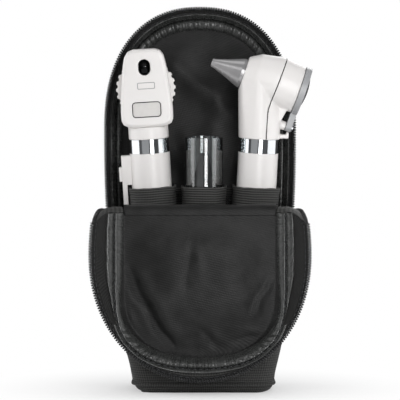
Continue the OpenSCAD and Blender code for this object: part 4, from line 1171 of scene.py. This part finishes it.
# Camera, light and floor
view = {"distance": 1000, "lens": 180, "sensor": 36, "rise": 0.6, "aim": (0, 0, 94)}
camera = bpy.data.objects.new("camera", bpy.data.cameras.new("camera"))
bpy.context.scene.collection.objects.link(camera)
bpy.context.scene.camera = camera
camera.data.lens = view["lens"]
camera.data.sensor_width = view["sensor"]
camera.data.clip_end = 20
rise = math.radians(view["rise"])
aim = Vector(view["aim"]) * mm
camera.location = aim + Vector((0, -math.cos(rise), math.sin(rise))) * view["distance"] * mm
camera.rotation_euler = (aim - camera.location).to_track_quat("-Z", "Y").to_euler()

# upright strips close by give the chrome and the tube their bands; the broad lamps above do the rest
lamps = {
    "leftStrip": {"turn": -90, "away": 0.55, "low": 0.0, "size": (0.6, 0.62), "power": 1.9},
    "middleStrip": {"turn": 14, "away": 0.4, "low": 0.0, "size": (0.13, 0.3), "power": 0.76},
    "ringStrip": {"turn": -24, "away": 0.4, "low": 0.0, "size": (0.3, 0.3), "power": 0.08},
    "rightStrip": {"turn": 84, "away": 0.55, "low": 0.0, "size": (0.6, 0.62), "power": 1.7},
    "frontSoft": {"turn": -20, "away": 1.2, "low": 0.65, "size": (0.8, 0.6), "power": 2.25},
    "topSoft": {"turn": 180, "away": 0.05, "low": 1.05, "size": (0.8, 0.6), "power": 1.7},
    "backSoft": {"turn": 170, "away": 1.1, "low": 0.4, "size": (0.9, 0.7), "power": 5.0},
}
for name, lampAt in lamps.items():
    light = bpy.data.lights.new(name, "AREA")
    light.shape = "RECTANGLE"
    light.size, light.size_y = lampAt["size"]
    light.energy = lampAt["power"]
    lamp = bpy.data.objects.new(name, light)
    bpy.context.scene.collection.objects.link(lamp)
    turn = math.radians(lampAt["turn"])
    upright = name.endswith("Strip")
    middle = lampAt["low"] + (lampAt["size"][1] / 2 + 0.005 if upright else 0.3)
    lamp.location = (math.sin(turn) * lampAt["away"], -math.cos(turn) * lampAt["away"], middle)
    target = Vector((0, 0, middle if upright else 0.1))
    lamp.rotation_euler = (target - lamp.location).to_track_quat("-Z", "Y").to_euler()
    lamp.visible_camera = False

world = bpy.data.worlds.new("studio")
bpy.context.scene.world = world
world.use_nodes = True
tree = world.node_tree
# soft grey all round for diffuse light, dimmer in gloss so that metal reads as metal, plain white when seen
sky = next(n for n in tree.nodes if n.type == "BACKGROUND")
sky.inputs[0].default_value = hexToLinear("#d9dadc")
ray = addNode(tree, "ShaderNodeLightPath")
dim = addNode(tree, "ShaderNodeMapRange", {3: 0.3, 4: 0.1}, {0: ray.outputs["Is Glossy Ray"]})
tree.links.new(dim.outputs[0], sky.inputs[1])
white = addNode(tree, "ShaderNodeBackground", {0: (1, 1, 1, 1), 1: 1.0})
either = addNode(tree, "ShaderNodeMixShader", None,
                 {0: ray.outputs["Is Camera Ray"], 1: sky.outputs[0], 2: white.outputs[0]})
tree.links.new(either.outputs[0], next(n for n in tree.nodes if n.type == "OUTPUT_WORLD").inputs[0])

# the floor catches the object's shadow near it, and is seen as plain white further out
floorPaper, tree, shader = newMaterial("mattWhitePaper")
shader.inputs["Roughness"].default_value = 0.9
place = addNode(tree, "ShaderNodeTexCoord")
far = addNode(tree, "ShaderNodeVectorMath", {"operation": "LENGTH"}, {0: place.outputs["Object"]})
fade = addNode(tree, "ShaderNodeMapRange",
               {"interpolation_type": "SMOOTHSTEP", 1: 0.02, 2: 0.12, 3: 0.4, 4: 1.0},
               {0: far.outputs["Value"]})
dimmer = addNode(tree, "ShaderNodeMapRange", {1: 0.18, 2: 0.4}, {0: far.outputs["Value"]})
paper = addNode(tree, "ShaderNodeMix",
                {"data_type": "RGBA", 6: hexToLinear("#fafafa"), 7: hexToLinear("#8a8b8c")},
                {0: dimmer.outputs[0]})
tree.links.new(paper.outputs[2], shader.inputs["Base Color"])
ray = addNode(tree, "ShaderNodeLightPath")
share = addNode(tree, "ShaderNodeMath", {"operation": "MULTIPLY"},
                {0: fade.outputs[0], 1: ray.outputs["Is Camera Ray"]})
glow = addNode(tree, "ShaderNodeEmission", {"Color": (1, 1, 1, 1), "Strength": 1.0})
both = addNode(tree, "ShaderNodeMixShader", None,
               {0: share.outputs[0], 1: shader.outputs[0], 2: glow.outputs[0]})
tree.links.new(both.outputs[0], next(n for n in tree.nodes if n.type == "OUTPUT_MATERIAL").inputs[0])
floor = makeMesh("floor", [[-1500, -1300, -0.05], [1500, -1300, -0.05], [1500, 1700, -0.05],
                           [-1500, 1700, -0.05]], [[0, 1, 2, 3]], floorPaper)
floor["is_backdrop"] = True

bpy.context.scene.view_settings.view_transform = "Standard"
lowest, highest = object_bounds()
print("size in mm:", [round((b - a) / mm, 1) for a, b in zip(lowest, highest)])
